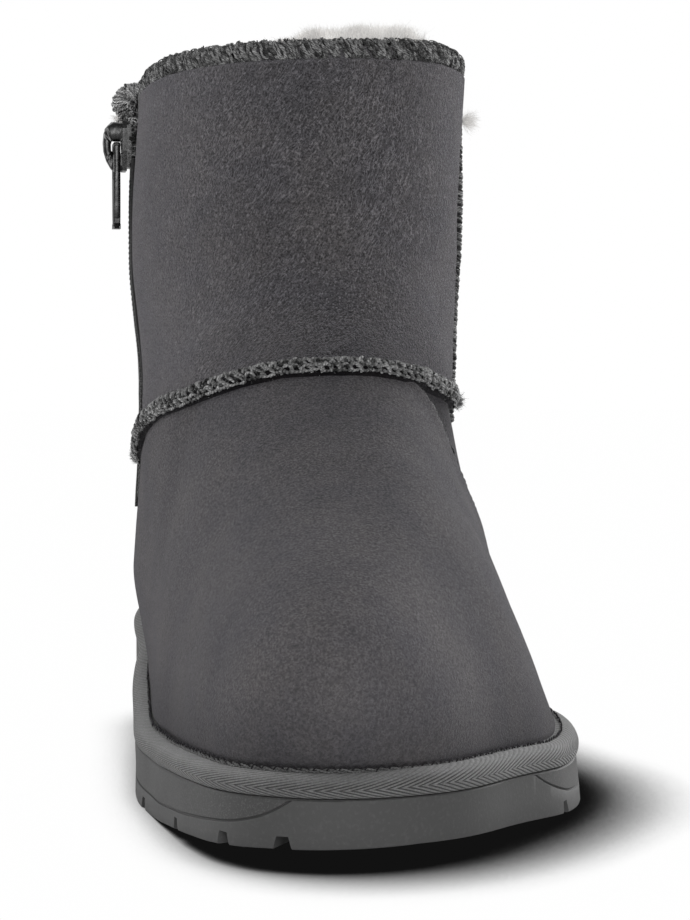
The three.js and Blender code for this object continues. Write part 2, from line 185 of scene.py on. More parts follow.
def feather_point(turn):
    along = (1 - np.cos(2 * np.pi * turn)) / 2
    width = by_side(turn, lambda side: outline_width(along, side))
    y = FOOT_BACK - along * FOOT_LENGTH
    return np.stack([middle_at(y) + side_sign(turn) * width, y], -1)


def outline_point(turn, offset):
    """The feather line, moved out square to itself."""
    turn = np.asarray(turn, float)
    run = unit(feather_point(turn + 1e-4) - feather_point(turn - 1e-4))
    out = np.stack([run[..., 1], -run[..., 0]], -1)
    return feather_point(turn) + out * np.asarray(offset, float)[..., None]


# %% The upper's surface
CROWN_RISES = np.linspace(NOSE_RISE, 190, 1500)
CROWN_FRONTS = read(VAMP, "front", CROWN_RISES)


def foot_width(rise, y, back, tip, side):
    height = np.minimum(rise / np.interp(y, CROWN_FRONTS, CROWN_RISES), 1)
    section = (1 - height ** read(FULLNESS, side, along_of(y))) ** (1 / SECTION_SQUARE[side])
    fullness = 1 + ANKLE_FULLNESS[side] * smooth(-70, 0, y) * smooth(0, 30, rise)
    return outline_width((back - y) / (back - tip), side) * section * fullness


def leg_width(rise, y, front, back, side):
    across = np.minimum(np.abs((2 * y - front - back) / (back - front)), 1)
    return read(LEG, side, rise) * (1 - across**LEG_ROUNDNESS) ** (1 / LEG_ROUNDNESS)


def upper_ends(rise):
    front = np.minimum(read(VAMP, "front", rise), read(LEG, "front", rise))
    return read(LEG, "back", rise), front


def upper_point(rise, turn):
    """A point of the upper's outside, by its rise above the feather line and its turn."""
    rise, turn = np.broadcast_arrays(np.asarray(rise, float), np.asarray(turn, float))
    back, front = upper_ends(rise)
    tip = np.where(rise < NOSE_RISE, read(VAMP, "front", rise), read(VAMP, "front", NOSE_RISE))
    y = back + (front - back) * (1 - np.cos(2 * np.pi * turn)) / 2
    foot = by_side(turn, lambda side: foot_width(rise, y, back, tip, side))
    leg = by_side(turn, lambda side: leg_width(rise, y, front, back, side))
    x = (middle_at(y) * (1 - smooth(40, 100, rise))
         + side_sign(turn) * mix(foot, leg, smooth(*LEG_TAKES_OVER, rise)))
    lift = (feather_at(x, y) - FEATHER_HEIGHT) * np.maximum(1 - rise / SLANT_ENDS, 0) ** 2
    slope = COLLAR_SLOPE * x * smooth(60, COLLAR_RISE, rise)
    return np.stack([x, y, FEATHER_HEIGHT + rise + lift + slope], -1)


def upper_normal(rise, turn):
    up = upper_point(np.minimum(rise + 0.5, COLLAR_RISE), turn) - upper_point(np.maximum(rise - 0.5, 0), turn)
    run = upper_point(rise, turn + 2e-3) - upper_point(rise, turn - 2e-3)
    return unit(np.cross(run, up))


def turn_at(rise, y, side):
    """The turn at which a level of the upper reaches a place along the foot."""
    back, front = upper_ends(rise)
    turn = np.arccos(1 - 2 * np.clip((back - y) / (back - front), 0, 1)) / (2 * np.pi)
    return turn if side == "medial" else 1 - turn


collar = upper_point(COLLAR_RISE, np.linspace(0, 1, 361))
COLLAR_LENGTH = float(np.linalg.norm(np.diff(collar, axis=0), axis=1).sum())
print(f"collar: {COLLAR_LENGTH:.0f} mm round, {collar[:, 2].min():.1f} to {collar[:, 2].max():.1f} mm high")

# %% [markdown]
# ## From points to meshes
# Almost every piece here is a grid of points: a panel is rows by columns, a yarn is rings along a line,
# a tuft is many tapering ribbons. Numpy works the points out all at once, and one helper hands them to
# Blender. That is much quicker than adding vertices one by one, and it keeps each piece's recipe in a
# few lines.

# %% Mesh helpers
def new_piece(name, points, faces, material, slot, uv=None, shade=None, body="boot"):
    """A mesh piece from points in millimetres that rides on a body. shade is a value kept on each point."""
    co = np.asarray(points, float).reshape(-1, 3) * MM
    faces = np.asarray(faces)
    mesh = bpy.data.meshes.new(name)
    mesh.vertices.add(len(co))
    mesh.vertices.foreach_set("co", co.ravel())
    mesh.loops.add(faces.size)
    mesh.loops.foreach_set("vertex_index", faces.ravel())
    mesh.polygons.add(len(faces))
    mesh.polygons.foreach_set("loop_start", np.arange(len(faces)) * faces.shape[1])
    mesh.polygons.foreach_set("use_smooth", np.ones(len(faces), bool))
    if uv is not None:
        layer = mesh.uv_layers.new(name="cloth")
        layer.data.foreach_set("uv", np.asarray(uv, float).reshape(-1, 2)[faces.ravel()].ravel())
    if shade is not None:
        mesh.attributes.new("shade", "FLOAT", "POINT").data.foreach_set("value", np.ravel(shade))
    mesh.update(calc_edges=True)
    mesh.validate()
    piece = bpy.data.objects.new(name, mesh)
    bpy.context.scene.collection.objects.link(piece)
    mesh.materials.append(material)
    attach(piece, body)
    print(f"{name}: {sum(len(p.vertices) - 2 for p in mesh.polygons)} triangles")
    return piece


def grid_faces(rows, columns, round_rows=False, round_columns=False):
    """Four-sided faces over a grid of points, which may close on itself."""
    r, c = np.meshgrid(
        np.arange(rows if round_rows else rows - 1),
        np.arange(columns if round_columns else columns - 1),
        indexing="ij",
    )
    up, on = (r + 1) % rows, (c + 1) % columns
    quads = [r * columns + c, r * columns + on, up * columns + on, up * columns + c]
    return np.stack(quads, -1).reshape(-1, 4)


def roll_edge(points, normals, radius, depth, ends):
    """Adds rows that turn a panel's first or last row down over a round cut edge, to a depth."""
    angles = np.radians([22, 45, 68, 90])
    for end in ends:
        edge, inner = (points[0], points[1]) if end == "start" else (points[-1], points[-2])
        normal = normals[0] if end == "start" else normals[-1]
        out = unit(edge - inner)
        rows = [edge + out * radius * math.sin(a) - normal * radius * (1 - math.cos(a)) for a in angles]
        rows.append(edge + out * radius * 0.9 - normal * depth)
        rows = np.array(rows[::-1] if end == "start" else rows)
        more = np.repeat(normal[None], len(rows), 0)
        points = np.concatenate([rows, points] if end == "start" else [points, rows])
        normals = np.concatenate([more, normals] if end == "start" else [normals, more])
    return points, normals


def lumps(points, size, seed):
    """Smooth random values from -1 to 1, with bumps about size millimetres across."""
    cells = 32
    table = np.random.default_rng(seed).uniform(-1, 1, (cells, cells, cells))
    place = np.asarray(points) / size
    cell = np.floor(place).astype(int)
    t = place - cell
    t = t * t * (3 - 2 * t)
    total = np.zeros(place.shape[:-1])
    for corner in np.ndindex(2, 2, 2):
        weight = np.prod(np.where(corner, t, 1 - t), axis=-1)
        i = (cell + corner) % cells
        total += weight * table[i[..., 0], i[..., 1], i[..., 2]]
    return total


# %% Yarn and hair helpers
rng = np.random.default_rng(11)


def tubes(lines, radius, sides=6):
    """Points, faces and uvs of a bundle of tubes along lines of (tubes, steps, 3)."""
    lines = np.asarray(lines, float)
    count, steps = lines.shape[:2]
    along = unit(np.gradient(lines, axis=1))
    helper = unit(np.array([0.31, 0.22, 0.93]) + np.zeros_like(along))
    across = unit(np.cross(along, helper))
    over = np.cross(along, across)
    angle = np.linspace(0, 2 * np.pi, sides, endpoint=False)
    r = np.broadcast_to(radius, (count, steps))[..., None, None]
    ring = np.cos(angle)[:, None] * across[:, :, None] + np.sin(angle)[:, None] * over[:, :, None]
    points = lines[:, :, None] + ring * r
    face = grid_faces(steps, sides, round_columns=True)
    faces = (np.arange(count)[:, None, None] * steps * sides + face).reshape(-1, 4)
    length = np.concatenate([np.zeros((count, 1)),
        np.linalg.norm(np.diff(lines, axis=1), axis=2).cumsum(1)], 1)
    uv = np.stack(np.broadcast_arrays(angle / (2 * np.pi), length[..., None]), -1)
    return points.reshape(-1, 3), faces, uv.reshape(-1, 2)


RIBBON_SHARES = np.array([0.0, 0.35, 0.7, 1.0])[:, None]
RIBBON_TAPER = np.array([1.0, 0.85, 0.55, 0.12])[:, None]
RIBBON_POINTS = 8


def ribbons(roots, tips, bend, width):
    """Points and faces of many flat hairs that taper to a point, each bowed sideways by its bend."""
    count = len(roots)
    bow = bend[:, None] * (RIBBON_SHARES * (1 - RIBBON_SHARES) * 4)
    lines = roots[:, None] + (tips - roots)[:, None] * RIBBON_SHARES + bow
    along = unit(np.gradient(lines, axis=1))
    across = unit(np.cross(along, unit(rng.normal(size=(count, 1, 3)))))
    half = width[:, None, None] * RIBBON_TAPER / 2
    points = np.stack([lines - across * half, lines + across * half], 2)
    face = np.array([[k, k + 1, k + 3, k + 2] for k in (0, 2, 4)])
    faces = (np.arange(count)[:, None, None] * RIBBON_POINTS + face).reshape(-1, 4)
    return points.reshape(-1, 3), faces


def path_frames(points, normals):
    """Along, across and out directions, and the length so far, on a line of points that lies on a surface."""
    along = unit(np.gradient(points, axis=0))
    out = unit(normals - along * (normals * along).sum(-1, keepdims=True))
    across = np.cross(out, along)
    length = np.concatenate([[0], np.linalg.norm(np.diff(points, axis=0), axis=1).cumsum()])
    return along, across, out, length


def on_path(path, s, a, b, n):
    """Points at a length s along a path, then a along it, b across it and n out of it."""
    points, along, across, out, length = path
    place = np.asarray(s, float) + np.asarray(a, float)
    pick = [np.stack([np.interp(place, length, v[:, k]) for k in range(3)], -1)
            for v in (points, across, out)]
    beyond = place - np.clip(place, 0, length[-1])
    tangent = np.stack([np.interp(place, length, along[:, k]) for k in range(3)], -1)
    b, n = np.asarray(b, float)[..., None], np.asarray(n, float)[..., None]
    return pick[0] + tangent * beyond[..., None] + pick[1] * b + pick[2] * n


def surface_path(rise, turn, out=0.0):
    """A path over the upper, from lists of rises and turns."""
    normals = upper_normal(rise, turn)
    points = upper_point(rise, turn) + normals * np.asarray(out, float)[..., None]
    along, across, outward, length = path_frames(points, normals)
    return points, along, across, outward, length


# %% [markdown]
# ## Shader groups
# Suede, yarn, cloth and rubber share a few effects: patches of tone, fine grain, the twist of a thread
# and the slanting ribs of a herringbone. Each is one node group with named sockets, so a material only
# states its own colours and sizes. The groups put out values and colours, and the shader itself stays in
# each material.

# %% Node helpers
def feed(socket, value):
    """Links an input to another node's output, or sets it to a plain value."""
    if isinstance(value, bpy.types.NodeSocket):
        socket.id_data.links.new(value, socket)
    else:
        socket.default_value = value


def add_node(tree, kind, **settings):
    """A shader node. A setting is an input by name, with _ for a space, or else a property."""
    made = tree.nodes.new("ShaderNode" + kind)
    for name, value in settings.items():
        socket = made.inputs.get(name.replace("_", " "))
        if socket is None:
            setattr(made, name, value)
        else:
            feed(socket, value)
    return made


def calc(tree, operation, *values, kind="Math"):
    """One arithmetic step on sockets or numbers."""
    made = add_node(tree, kind, operation=operation)
    for socket, value in zip(made.inputs, values):
        feed(socket, value)
    return made.outputs["Value" if kind == "Math" or operation == "DISTANCE" else "Vector"]


def blend(tree, factor, a, b, mode="MIX"):
    """Two colours mixed by a factor."""
    made = add_node(tree, "Mix", data_type="RGBA", blend_type=mode)
    for number, value in ((0, factor), (6, a), (7, b)):
        feed(made.inputs[number], value)
    return made.outputs[2]


def shaded(tree, colour, value):
    """A colour darkened or lightened by a value."""
    by = add_node(tree, "CombineColor", Red=value, Green=value, Blue=value)
    return blend(tree, 1.0, colour, by.outputs["Color"], "MULTIPLY")


def spread(tree, value, low, high, to_low=0.0, to_high=1.0):
    """A value's range stretched to another, and held at its ends."""
    limits = {"From_Min": low, "From_Max": high, "To_Min": to_low, "To_Max": to_high}
    return add_node(tree, "MapRange", Value=value, **limits).outputs["Result"]


def noise(tree, where, scale, detail=1.0, roughness=0.5):
    """Soft random values over the points of a surface."""
    made = add_node(tree, "TexNoise", Vector=where, Scale=scale, Detail=detail, Roughness=roughness)
    return made.outputs["Fac"]


def new_group(name, inputs, outputs):
    """An empty shader group with named sockets; gives its tree, input node and output node."""
    tree = bpy.data.node_groups.new(name, "ShaderNodeTree")
    for label, (kind, value) in inputs.items():
        socket = tree.interface.new_socket(label, in_out="INPUT", socket_type="NodeSocket" + kind)
        if value is not None:
            socket.default_value = value
    for label, kind in outputs.items():
        tree.interface.new_socket(label, in_out="OUTPUT", socket_type="NodeSocket" + kind)
    return tree, tree.nodes.new("NodeGroupInput"), tree.nodes.new("NodeGroupOutput")


def grey(value, warm=0.0, violet=0.0):
    """A grey by its display value from 0 to 255, tipped warm or violet."""
    def linear(v):
        v = min(max(v, 0), 255) / 255
        return v / 12.92 if v < 0.04045 else ((v + 0.055) / 1.055) ** 2.4

    return (linear(value + warm + violet / 2), linear(value - violet / 2),
        linear(value - warm + violet * 1.5), 1.0)


# %% The shared groups
def patches_group():
    """Soft patches and fine specks of tone over a colour, as dye and wear leave them."""
    tree, given, result = new_group(
        "Tone patches",
        {
            "Vector": ("Vector", None),
            "Colour": ("Color", grey(90)),
            "Other Colour": ("Color", grey(110)),
            "Speck Colour": ("Color", grey(50)),
            "Patch Size": ("Float", 18.0),
            "Speck Size": ("Float", 0.6),
            "Specks": ("Float", 0.5),
        },
        {"Colour": "Color", "Patches": "Float"},
    )
    patch_scale = calc(tree, "DIVIDE", 1000.0, given.outputs["Patch Size"])
    speck_scale = calc(tree, "DIVIDE", 1000.0, given.outputs["Speck Size"])
    patch_mask = spread(tree, noise(tree, given.outputs["Vector"], patch_scale, 3.0, 0.6), 0.35, 0.68)
    speck_mask = spread(tree, noise(tree, given.outputs["Vector"], speck_scale, 2.0), 0.52, 0.72)
    toned = blend(tree, patch_mask, given.outputs["Colour"], given.outputs["Other Colour"])
    amount = calc(tree, "MULTIPLY", speck_mask, given.outputs["Specks"])
    tree.links.new(blend(tree, amount, toned, given.outputs["Speck Colour"]), result.inputs["Colour"])
    tree.links.new(patch_mask, result.inputs["Patches"])
    return tree


def grain_group():
    """Fine grain of one size, as a height."""
    tree, given, result = new_group(
        "Fine grain",
        {"Vector": ("Vector", None), "Size": ("Float", 0.5)},
        {"Height": "Float"},
    )
    scale = calc(tree, "DIVIDE", 1000.0, given.outputs["Size"])
    tree.links.new(noise(tree, given.outputs["Vector"], scale, 4.0, 0.62), result.inputs["Height"])
    return tree


def twist_group():
    """The slanting plies of a twisted yarn, from uvs that run round it and along it in millimetres."""
    tree, given, result = new_group(
        "Yarn twist",
        {"Vector": ("Vector", None), "Plies": ("Float", 3.0), "Turns per mm": ("Float", 0.5)},
        {"Height": "Float"},
    )
    parts = add_node(tree, "SeparateXYZ", Vector=given.outputs["Vector"])
    round_it = calc(tree, "MULTIPLY", parts.outputs["X"], given.outputs["Plies"])
    along_it = calc(tree, "MULTIPLY", parts.outputs["Y"], given.outputs["Turns per mm"])
    phase = calc(tree, "MULTIPLY", calc(tree, "ADD", round_it, along_it), 2 * math.pi)
    wave = calc(tree, "SINE", phase)
    tree.links.new(spread(tree, wave, -1.0, 1.0), result.inputs["Height"])
    return tree


def herringbone_group():
    """Ribs that slant to a spine from both sides, from uvs in millimetres along and across a tape."""
    tree, given, result = new_group(
        "Herringbone",
        {"Vector": ("Vector", None), "Rib": ("Float", 2.6), "Slant": ("Float", 3.2)},
        {"Height": "Float"},
    )
    parts = add_node(tree, "SeparateXYZ", Vector=given.outputs["Vector"])
    arm = calc(tree, "MULTIPLY", calc(tree, "ABSOLUTE", parts.outputs["Y"]), given.outputs["Slant"])
    place = calc(tree, "DIVIDE", calc(tree, "SUBTRACT", parts.outputs["X"], arm), given.outputs["Rib"])
    rib = calc(tree, "SINE", calc(tree, "MULTIPLY", place, 2 * math.pi))
    tree.links.new(spread(tree, rib, -1.0, 0.6), result.inputs["Height"])
    return tree


PATCHES, GRAIN, TWIST, HERRINGBONE = patches_group(), grain_group(), twist_group(), herringbone_group()
print("shader groups:", [g.name for g in bpy.data.node_groups])


def use_group(tree, group, **inputs):
    """A shared group in a material, with its inputs by name."""
    made = tree.nodes.new("ShaderNodeGroup")
    made.node_tree = group
    for name, value in inputs.items():
        feed(made.inputs[name.replace("_", " ")], value)
    return made


def patches(tree, where, tones, sizes, specks):
    """The tone patches of three greys: main, other and speck. The sizes are a patch's and a speck's."""
    main, other, speck = (grey(*tone) if isinstance(tone, tuple) else grey(tone) for tone in tones)
    return use_group(
        tree, PATCHES, Vector=where, Colour=main, Other_Colour=other, Speck_Colour=speck,
        Patch_Size=sizes[0], Speck_Size=sizes[1], Specks=specks,
    )


def grain(tree, where, size):
    return use_group(tree, GRAIN, Vector=where, Size=size).outputs["Height"]


def new_material(name, roughness, **shader):
    """A material; gives it with its tree, its shader, and a surface's own points and uvs."""
    material = bpy.data.materials.new(name)
    material.use_nodes = True
    tree = material.node_tree
    surface = tree.nodes["Principled BSDF"]
    surface.inputs["Roughness"].default_value = roughness
    for label, value in shader.items():
        surface.inputs[label.replace("_", " ")].default_value = value
    place = tree.nodes.new("ShaderNodeTexCoord")
    return material, tree, surface, place.outputs["Object"], place.outputs["UV"]


def finish(surface, colour, height, distance):
    """Gives a shader its colour, and raises a height (0 to 1) by a distance in millimetres."""
    raised = add_node(surface.id_data, "Bump", Height=height, Distance=distance * MM)
    feed(surface.inputs["Base Color"], colour)
    feed(surface.inputs["Normal"], raised.outputs["Normal"])

# %% [markdown]
# ## Suede
# Suede is hide with its flesh side brushed up into a short nap. Seen close it is dark grey with paler
# and warmer patches where the nap lies another way, specked with darker pores. A strong sheen on a rough
# shader gives the pale rim that nap shows at a glancing angle. The shaft's hide is looser and is
# crinkled in fine slanting lines, so its material takes a net of thin ridges with painted highlights,
# faded out where the hide is smooth. The foot's suede has a painted highlight on the toe and painted
# shade higher up.

# %% Suede materials
SUEDE_TONE = 84
# Centre of the painted highlight on the toe, in metres.
TOE_CAP = (0.0, -0.186, 0.042)


def suede_base(name, tone, contrast, speck=0.5, sheen=0.12):
    """Napped hide: patches, pores and a fine grain. Gives the parts that a kind of suede builds on."""
    nap_rim = {"Sheen_Weight": sheen, "Sheen_Roughness": 0.4, "Sheen_Tint": (0.9, 0.88, 0.95, 1)}
    material, tree, surface, where, _ = new_material(name, 0.95, Specular_IOR_Level=0.12, **nap_rim)
    tones = ((tone - 3, 0, 1.5), (tone + 4, 1.2, 1.2), (tone - 36, 0, 1.0))
    wide = patches(tree, where, tones, (17.0, 1.0), speck)
    nap = grain(tree, where, 0.5)
    shade = spread(tree, nap, 0.38, 0.62, 1 - contrast, 1 + contrast)
    colour = shaded(tree, wide.outputs["Colour"], shade)
    parts = add_node(tree, "SeparateXYZ", Vector=where).outputs
    return material, tree, surface, where, parts, colour, nap


def by_distance(tree, where, centre, near, far, at_near, at_far):
    """A value that changes with the distance from a point, in metres."""
    gap = calc(tree, "DISTANCE", where, centre, kind="VectorMath")
    return spread(tree, gap, near, far, at_near, at_far)


def smooth_suede(name, tone, shadow_centre=None):
    """Foot suede, darker at its foot, with a painted highlight on the toe, painted shade higher up and a
    painted shadow round a given point.
    """
    material, tree, surface, where, parts, colour, nap = suede_base(name, tone, 0.3)
    # Darker towards the foot of the upper, down to 0.72 below 22 mm up.
    darker_at_foot = spread(tree, parts["Z"], 0.022, 0.036, 0.72, 1.0)
    # Painted highlight: the toe is lightened up to 1.27 times near its centre.
    wear_and_highlight = by_distance(tree, where, TOE_CAP, 0.012, 0.05, 1.27, 1.0)
    # Painted shade: the hide darkens to 0.87 from 50 to 90 mm up.
    high = spread(tree, parts["Z"], 0.05, 0.09, 1.0, 0.87)
    coarse = spread(tree, nap, 0.4, 0.6, 0.7, 1.34)
    loose = calc(tree, "MULTIPLY", spread(tree, parts["Z"], 0.04, 0.085), 0.75)
    colour = blend(tree, loose, colour, shaded(tree, colour, coarse))
    tone_by = calc(tree, "MULTIPLY", calc(tree, "MULTIPLY", darker_at_foot, wear_and_highlight), high)
    # Painted shadow: darkened down to 0.45 round the given point.
    if shadow_centre is not None:
        painted_shadow = by_distance(tree, where, shadow_centre, 0.006, 0.018, 0.45, 1.0)
        tone_by = calc(tree, "MULTIPLY", tone_by, painted_shadow)
    finish(surface, shaded(tree, colour, tone_by), nap, 0.4)
    return material


def crinkled_suede(name, tone):
    """Suede whose loose face is drawn into fine slanting wrinkles, with painted highlights on them and
    painted shade above the instep seam.
    """
    base = suede_base(name, tone, 0.62, speck=0.45, sheen=0.3)
    material, tree, surface, where, parts, colour, nap = base
    slant = add_node(tree, "Mapping", vector_type="TEXTURE", Vector=where)
    slant.inputs["Rotation"].default_value = (0, math.radians(30), 0)
    slant.inputs["Scale"].default_value = (1.0, 1.0, 3.2)
    drift = add_node(tree, "TexNoise", Vector=where, Scale=90.0, Detail=1.0).outputs["Color"]
    sway = (0.004, 0.004, 0.004)
    bent = calc(tree, "MULTIPLY_ADD", drift, sway, slant.outputs["Vector"], kind="VectorMath")
    off_ridge = calc(tree, "ABSOLUTE", calc(tree, "SUBTRACT", noise(tree, bent, 1000.0), 0.5))
    ridge = spread(tree, off_ridge, 0.0, 0.075, 1.0, 0.0)
    high = spread(tree, parts["Z"], 0.112, 0.150, 0.5, 1.0)
    outer = spread(tree, parts["X"], -0.044, -0.012, 0.25, 1.0)
    patchy = spread(tree, noise(tree, where, 42.0), 0.36, 0.58, 0.35, 1.0)
    amount = calc(tree, "MULTIPLY", calc(tree, "MULTIPLY", high, outer), patchy)
    # Painted glints: tiny bright specks on the wrinkled hide.
    glint = noise(tree, slant.outputs["Vector"], 2100.0)
    glints = calc(tree, "MULTIPLY", spread(tree, glint, 0.58, 0.68), 0.75)
    lines = calc(tree, "MAXIMUM", calc(tree, "MULTIPLY", ridge, amount), glints)
    # Painted highlights: the colour is brightened up to 2.1 times on the wrinkles' ridges and at the glints,
    # which also raise the bump.
    lit = shaded(tree, colour, spread(tree, lines, 0.0, 1.0, 0.9, 2.1))
    # Painted shade: darkened to 0.42 in the middle of the shaft just above the instep seam.
    off_middle = calc(tree, "ABSOLUTE", calc(tree, "SUBTRACT", parts["X"], 0.006))
    middle = spread(tree, off_middle, 0.012, 0.040, 1.0, 0.0)
    close = spread(tree, parts["Z"], 0.104, 0.128, 1.0, 0.0)
    shade_above_seam = calc(tree, "MULTIPLY", middle, close)
    lit = shaded(tree, lit, spread(tree, shade_above_seam, 0.0, 1.0, 1.0, 0.42))
    finish(surface, lit, calc(tree, "ADD", lines, nap), 0.55)
    return material


suede = smooth_suede("suede", SUEDE_TONE)
shaft_suede = crinkled_suede("crinkled suede", SUEDE_TONE)
# Painted shade: darker suede for seam cores, the lap strip, the corner's base and the joint's loops, where
# shade falls between and under yarn.
seam_shade_suede = smooth_suede("seam shade suede", SUEDE_TONE - 36)
# Painted shade: near-black suede for the instep seam's core, the strip under it and the collar's bound edge,
# where shade falls between and under yarn.
shadow_suede = smooth_suede("shadowed suede", SUEDE_TONE - 60)
edge_suede = smooth_suede("cut edge suede", SUEDE_TONE + 55)
# The quarter gets a painted shadow next to the vamp's outer edge, where the vamp laps over it.
quarter_suede = smooth_suede("quarter suede", SUEDE_TONE,
    shadow_centre=upper_point(77, turn_at(77, -68, "lateral")) * MM)
print("suede tone", SUEDE_TONE)

# %% [markdown]
# ## Yarn, wool, cloth, rubber and metal
# The overlocked seams are sewn with a fuzzy grey yarn, the lining is pale wool pile, the platform is
# bound in herringbone tape, the sole is matte moulded rubber, and the zip's metal is dipped black. Hairs
# and stitches carry a random shade each, which the materials read so that no two strands look alike.

# %% Yarn and wool materials
def strand_shade(tree, dark, light, warm):
    """A colour between two greys, by the random shade that each strand carries."""
    shade = add_node(tree, "Attribute", attribute_name="shade")
    return blend(tree, shade.outputs["Fac"], grey(dark, warm), grey(light, warm))


def strand_material(name, dark, light, bump_by, plies, turns, sheen=0.25, roughness=0.86):
    """Twisted yarn, with painted shade in the valleys between its plies."""
    soft = {"Sheen_Weight": sheen, "Sheen_Roughness": 0.4, "Specular_IOR_Level": 0.25}
    material, tree, surface, _, uv = new_material(name, roughness, **soft)
    twist = use_group(tree, TWIST, Vector=uv, Plies=plies, Turns_per_mm=turns).outputs["Height"]
    # Painted shade: the colour darkens to 0.42 in the twist's valleys.
    ply_shade = spread(tree, twist, 0.0, 0.75, 0.42, 1.0)
    colour = strand_shade(tree, dark, light, 0.0)
    finish(surface, shaded(tree, colour, ply_shade), twist, bump_by)
    return material


def pile_material(name, dark, light, warm, glow=0.0):
    """Wool hairs. The glow stands for the light that passes through them."""
    soft = {"Sheen_Weight": 0.3, "Sheen_Roughness": 0.5, "Specular_IOR_Level": 0.2}
    shine = {"Emission_Color": grey(250, warm), "Emission_Strength": glow}
    material, tree, surface, where, _ = new_material(name, 0.8, **soft, **shine)
    tone = patches(tree, where, (225, 255, 200), (6.0, 0.5), 0.4).outputs["Colour"]
    colour = blend(tree, 1.0, strand_shade(tree, dark, light, warm), tone, "MULTIPLY")
    finish(surface, colour, grain(tree, where, 1.1), 0.5)
    return material


collar_yarn = strand_material("collar yarn", 62, 178, 0.2, 3.0, 0.9, sheen=0.1)
corner_yarn = strand_material("corner yarn", 62, 240, 0.2, 2.0, 1.1, sheen=0.1, roughness=0.5)
seam_yarn = strand_material("seam yarn", 34, 184, 0.2, 2.0, 1.1, sheen=0.1, roughness=0.5)
junction_yarn = strand_material("junction thread", 84, 120, 0.1, 2.0, 1.3)
fuzz = pile_material("yarn fuzz", 62, 140, 0.0)
wool = pile_material("wool pile", 222, 254, 2.0, glow=0.16)
wool_ground = pile_material("wool ground", 160, 205, 2.0, glow=0.14)


# %% Cloth, rubber and metal materials
def tape_material(name, tone, rib, slant, height):
    """Herringbone cloth with painted shade in its grooves, plainer towards its upper edge."""
    soft = {"Sheen_Weight": 0.25, "Sheen_Roughness": 0.4, "Specular_IOR_Level": 0.3}
    material, tree, surface, where, uv = new_material(name, 0.85, **soft)
    weave = use_group(tree, HERRINGBONE, Vector=uv, Rib=rib, Slant=slant).outputs["Height"]
    worn = patches(tree, where, (tone, tone + 9, tone + 28), (9.0, 0.5), 0.3).outputs["Colour"]
    across = add_node(tree, "SeparateXYZ", Vector=uv).outputs["Y"]
    plain = spread(tree, across, 1.4, 3.4, 1.0, 0.35)
    # Painted shade: the grooves between the ribs darken towards a grey 66 below the tone.
    groove_shade = calc(tree, "MULTIPLY", spread(tree, weave, 0.0, 0.62, 0.95, 0.0), plain)
    rough = grain(tree, where, 0.55)
    mottled = shaded(tree, worn, spread(tree, rough, 0.36, 0.64, 0.76, 1.2))
    raised = calc(tree, "MULTIPLY_ADD", rough, 0.5, calc(tree, "MULTIPLY", weave, plain))
    finish(surface, blend(tree, groove_shade, mottled, grey(tone - 66)), raised, height)
    return material


def rubber_material(name, tone):
    """Matte rubber, speckled with chalk and darker where the mesh's shade is 1."""
    material, tree, surface, where, _ = new_material(name, 0.62, Specular_IOR_Level=0.32)
    dusty = patches(tree, where, (tone, tone + 4, tone + 24), (34.0, 0.9), 0.28)
    above = add_node(tree, "Attribute", attribute_name="shade").outputs["Fac"]
    chalky = calc(tree, "MULTIPLY", spread(tree, noise(tree, where, 2600.0), 0.56, 0.64), above)
    # Darker above the mould line, where the mesh's shade is 1.
    above_line_darkening = calc(tree, "MULTIPLY", above, 0.3)
    darkened_above_line = blend(tree, above_line_darkening, dusty.outputs["Colour"], grey(tone - 16))
    chalked = blend(tree, calc(tree, "MULTIPLY", chalky, 0.22), darkened_above_line, grey(tone + 50))
    feed(surface.inputs["Roughness"], spread(tree, dusty.outputs["Patches"], 0.0, 1.0, 0.56, 0.7))
    finish(surface, chalked, grain(tree, where, 0.6), 0.05)
    return material


def metal_material(name, tone, roughness):
    """Dipped metal, worn a little at random."""
    material, tree, surface, where, _ = new_material(name, roughness, Metallic=1.0)
    wear_and_highlight = patches(tree, where, (tone, tone + 16, tone + 40), (3.0, 0.3), 0.2)
    dip = grain(tree, where, 0.8)
    uneven = spread(tree, dip, 0.3, 0.7, roughness - 0.08, roughness + 0.12)
    feed(surface.inputs["Roughness"], uneven)
    finish(surface, wear_and_highlight.outputs["Colour"], dip, 0.03)
    return material


RIB, RIB_SLANT = 2.57, 3.27
platform_tape = tape_material("herringbone tape", 116, RIB, RIB_SLANT, 0.4)
zip_cloth = tape_material("zip tape cloth", 62, 1.6, 2.2, 0.08)
binding_cloth = tape_material("zip edge binding", 58, 0.9, 1.0, 0.08)
rubber = rubber_material("sole rubber", 76)
black_metal = metal_material("black dipped metal", 58, 0.26)
coil_plastic = metal_material("dark zip teeth", 60, 0.4)
print("materials:", len(bpy.data.materials))

# %% [markdown]
# ## Where the panels meet
# The upper is cut in three: a front shaft, a vamp over the foot, and a quarter that wraps the heel from
# the zip on the inner side to the side seam on the outer one. Short tables say where each edge runs.
# Everything that is sewn or rolled along an edge asks the same tables, so nothing drifts apart.

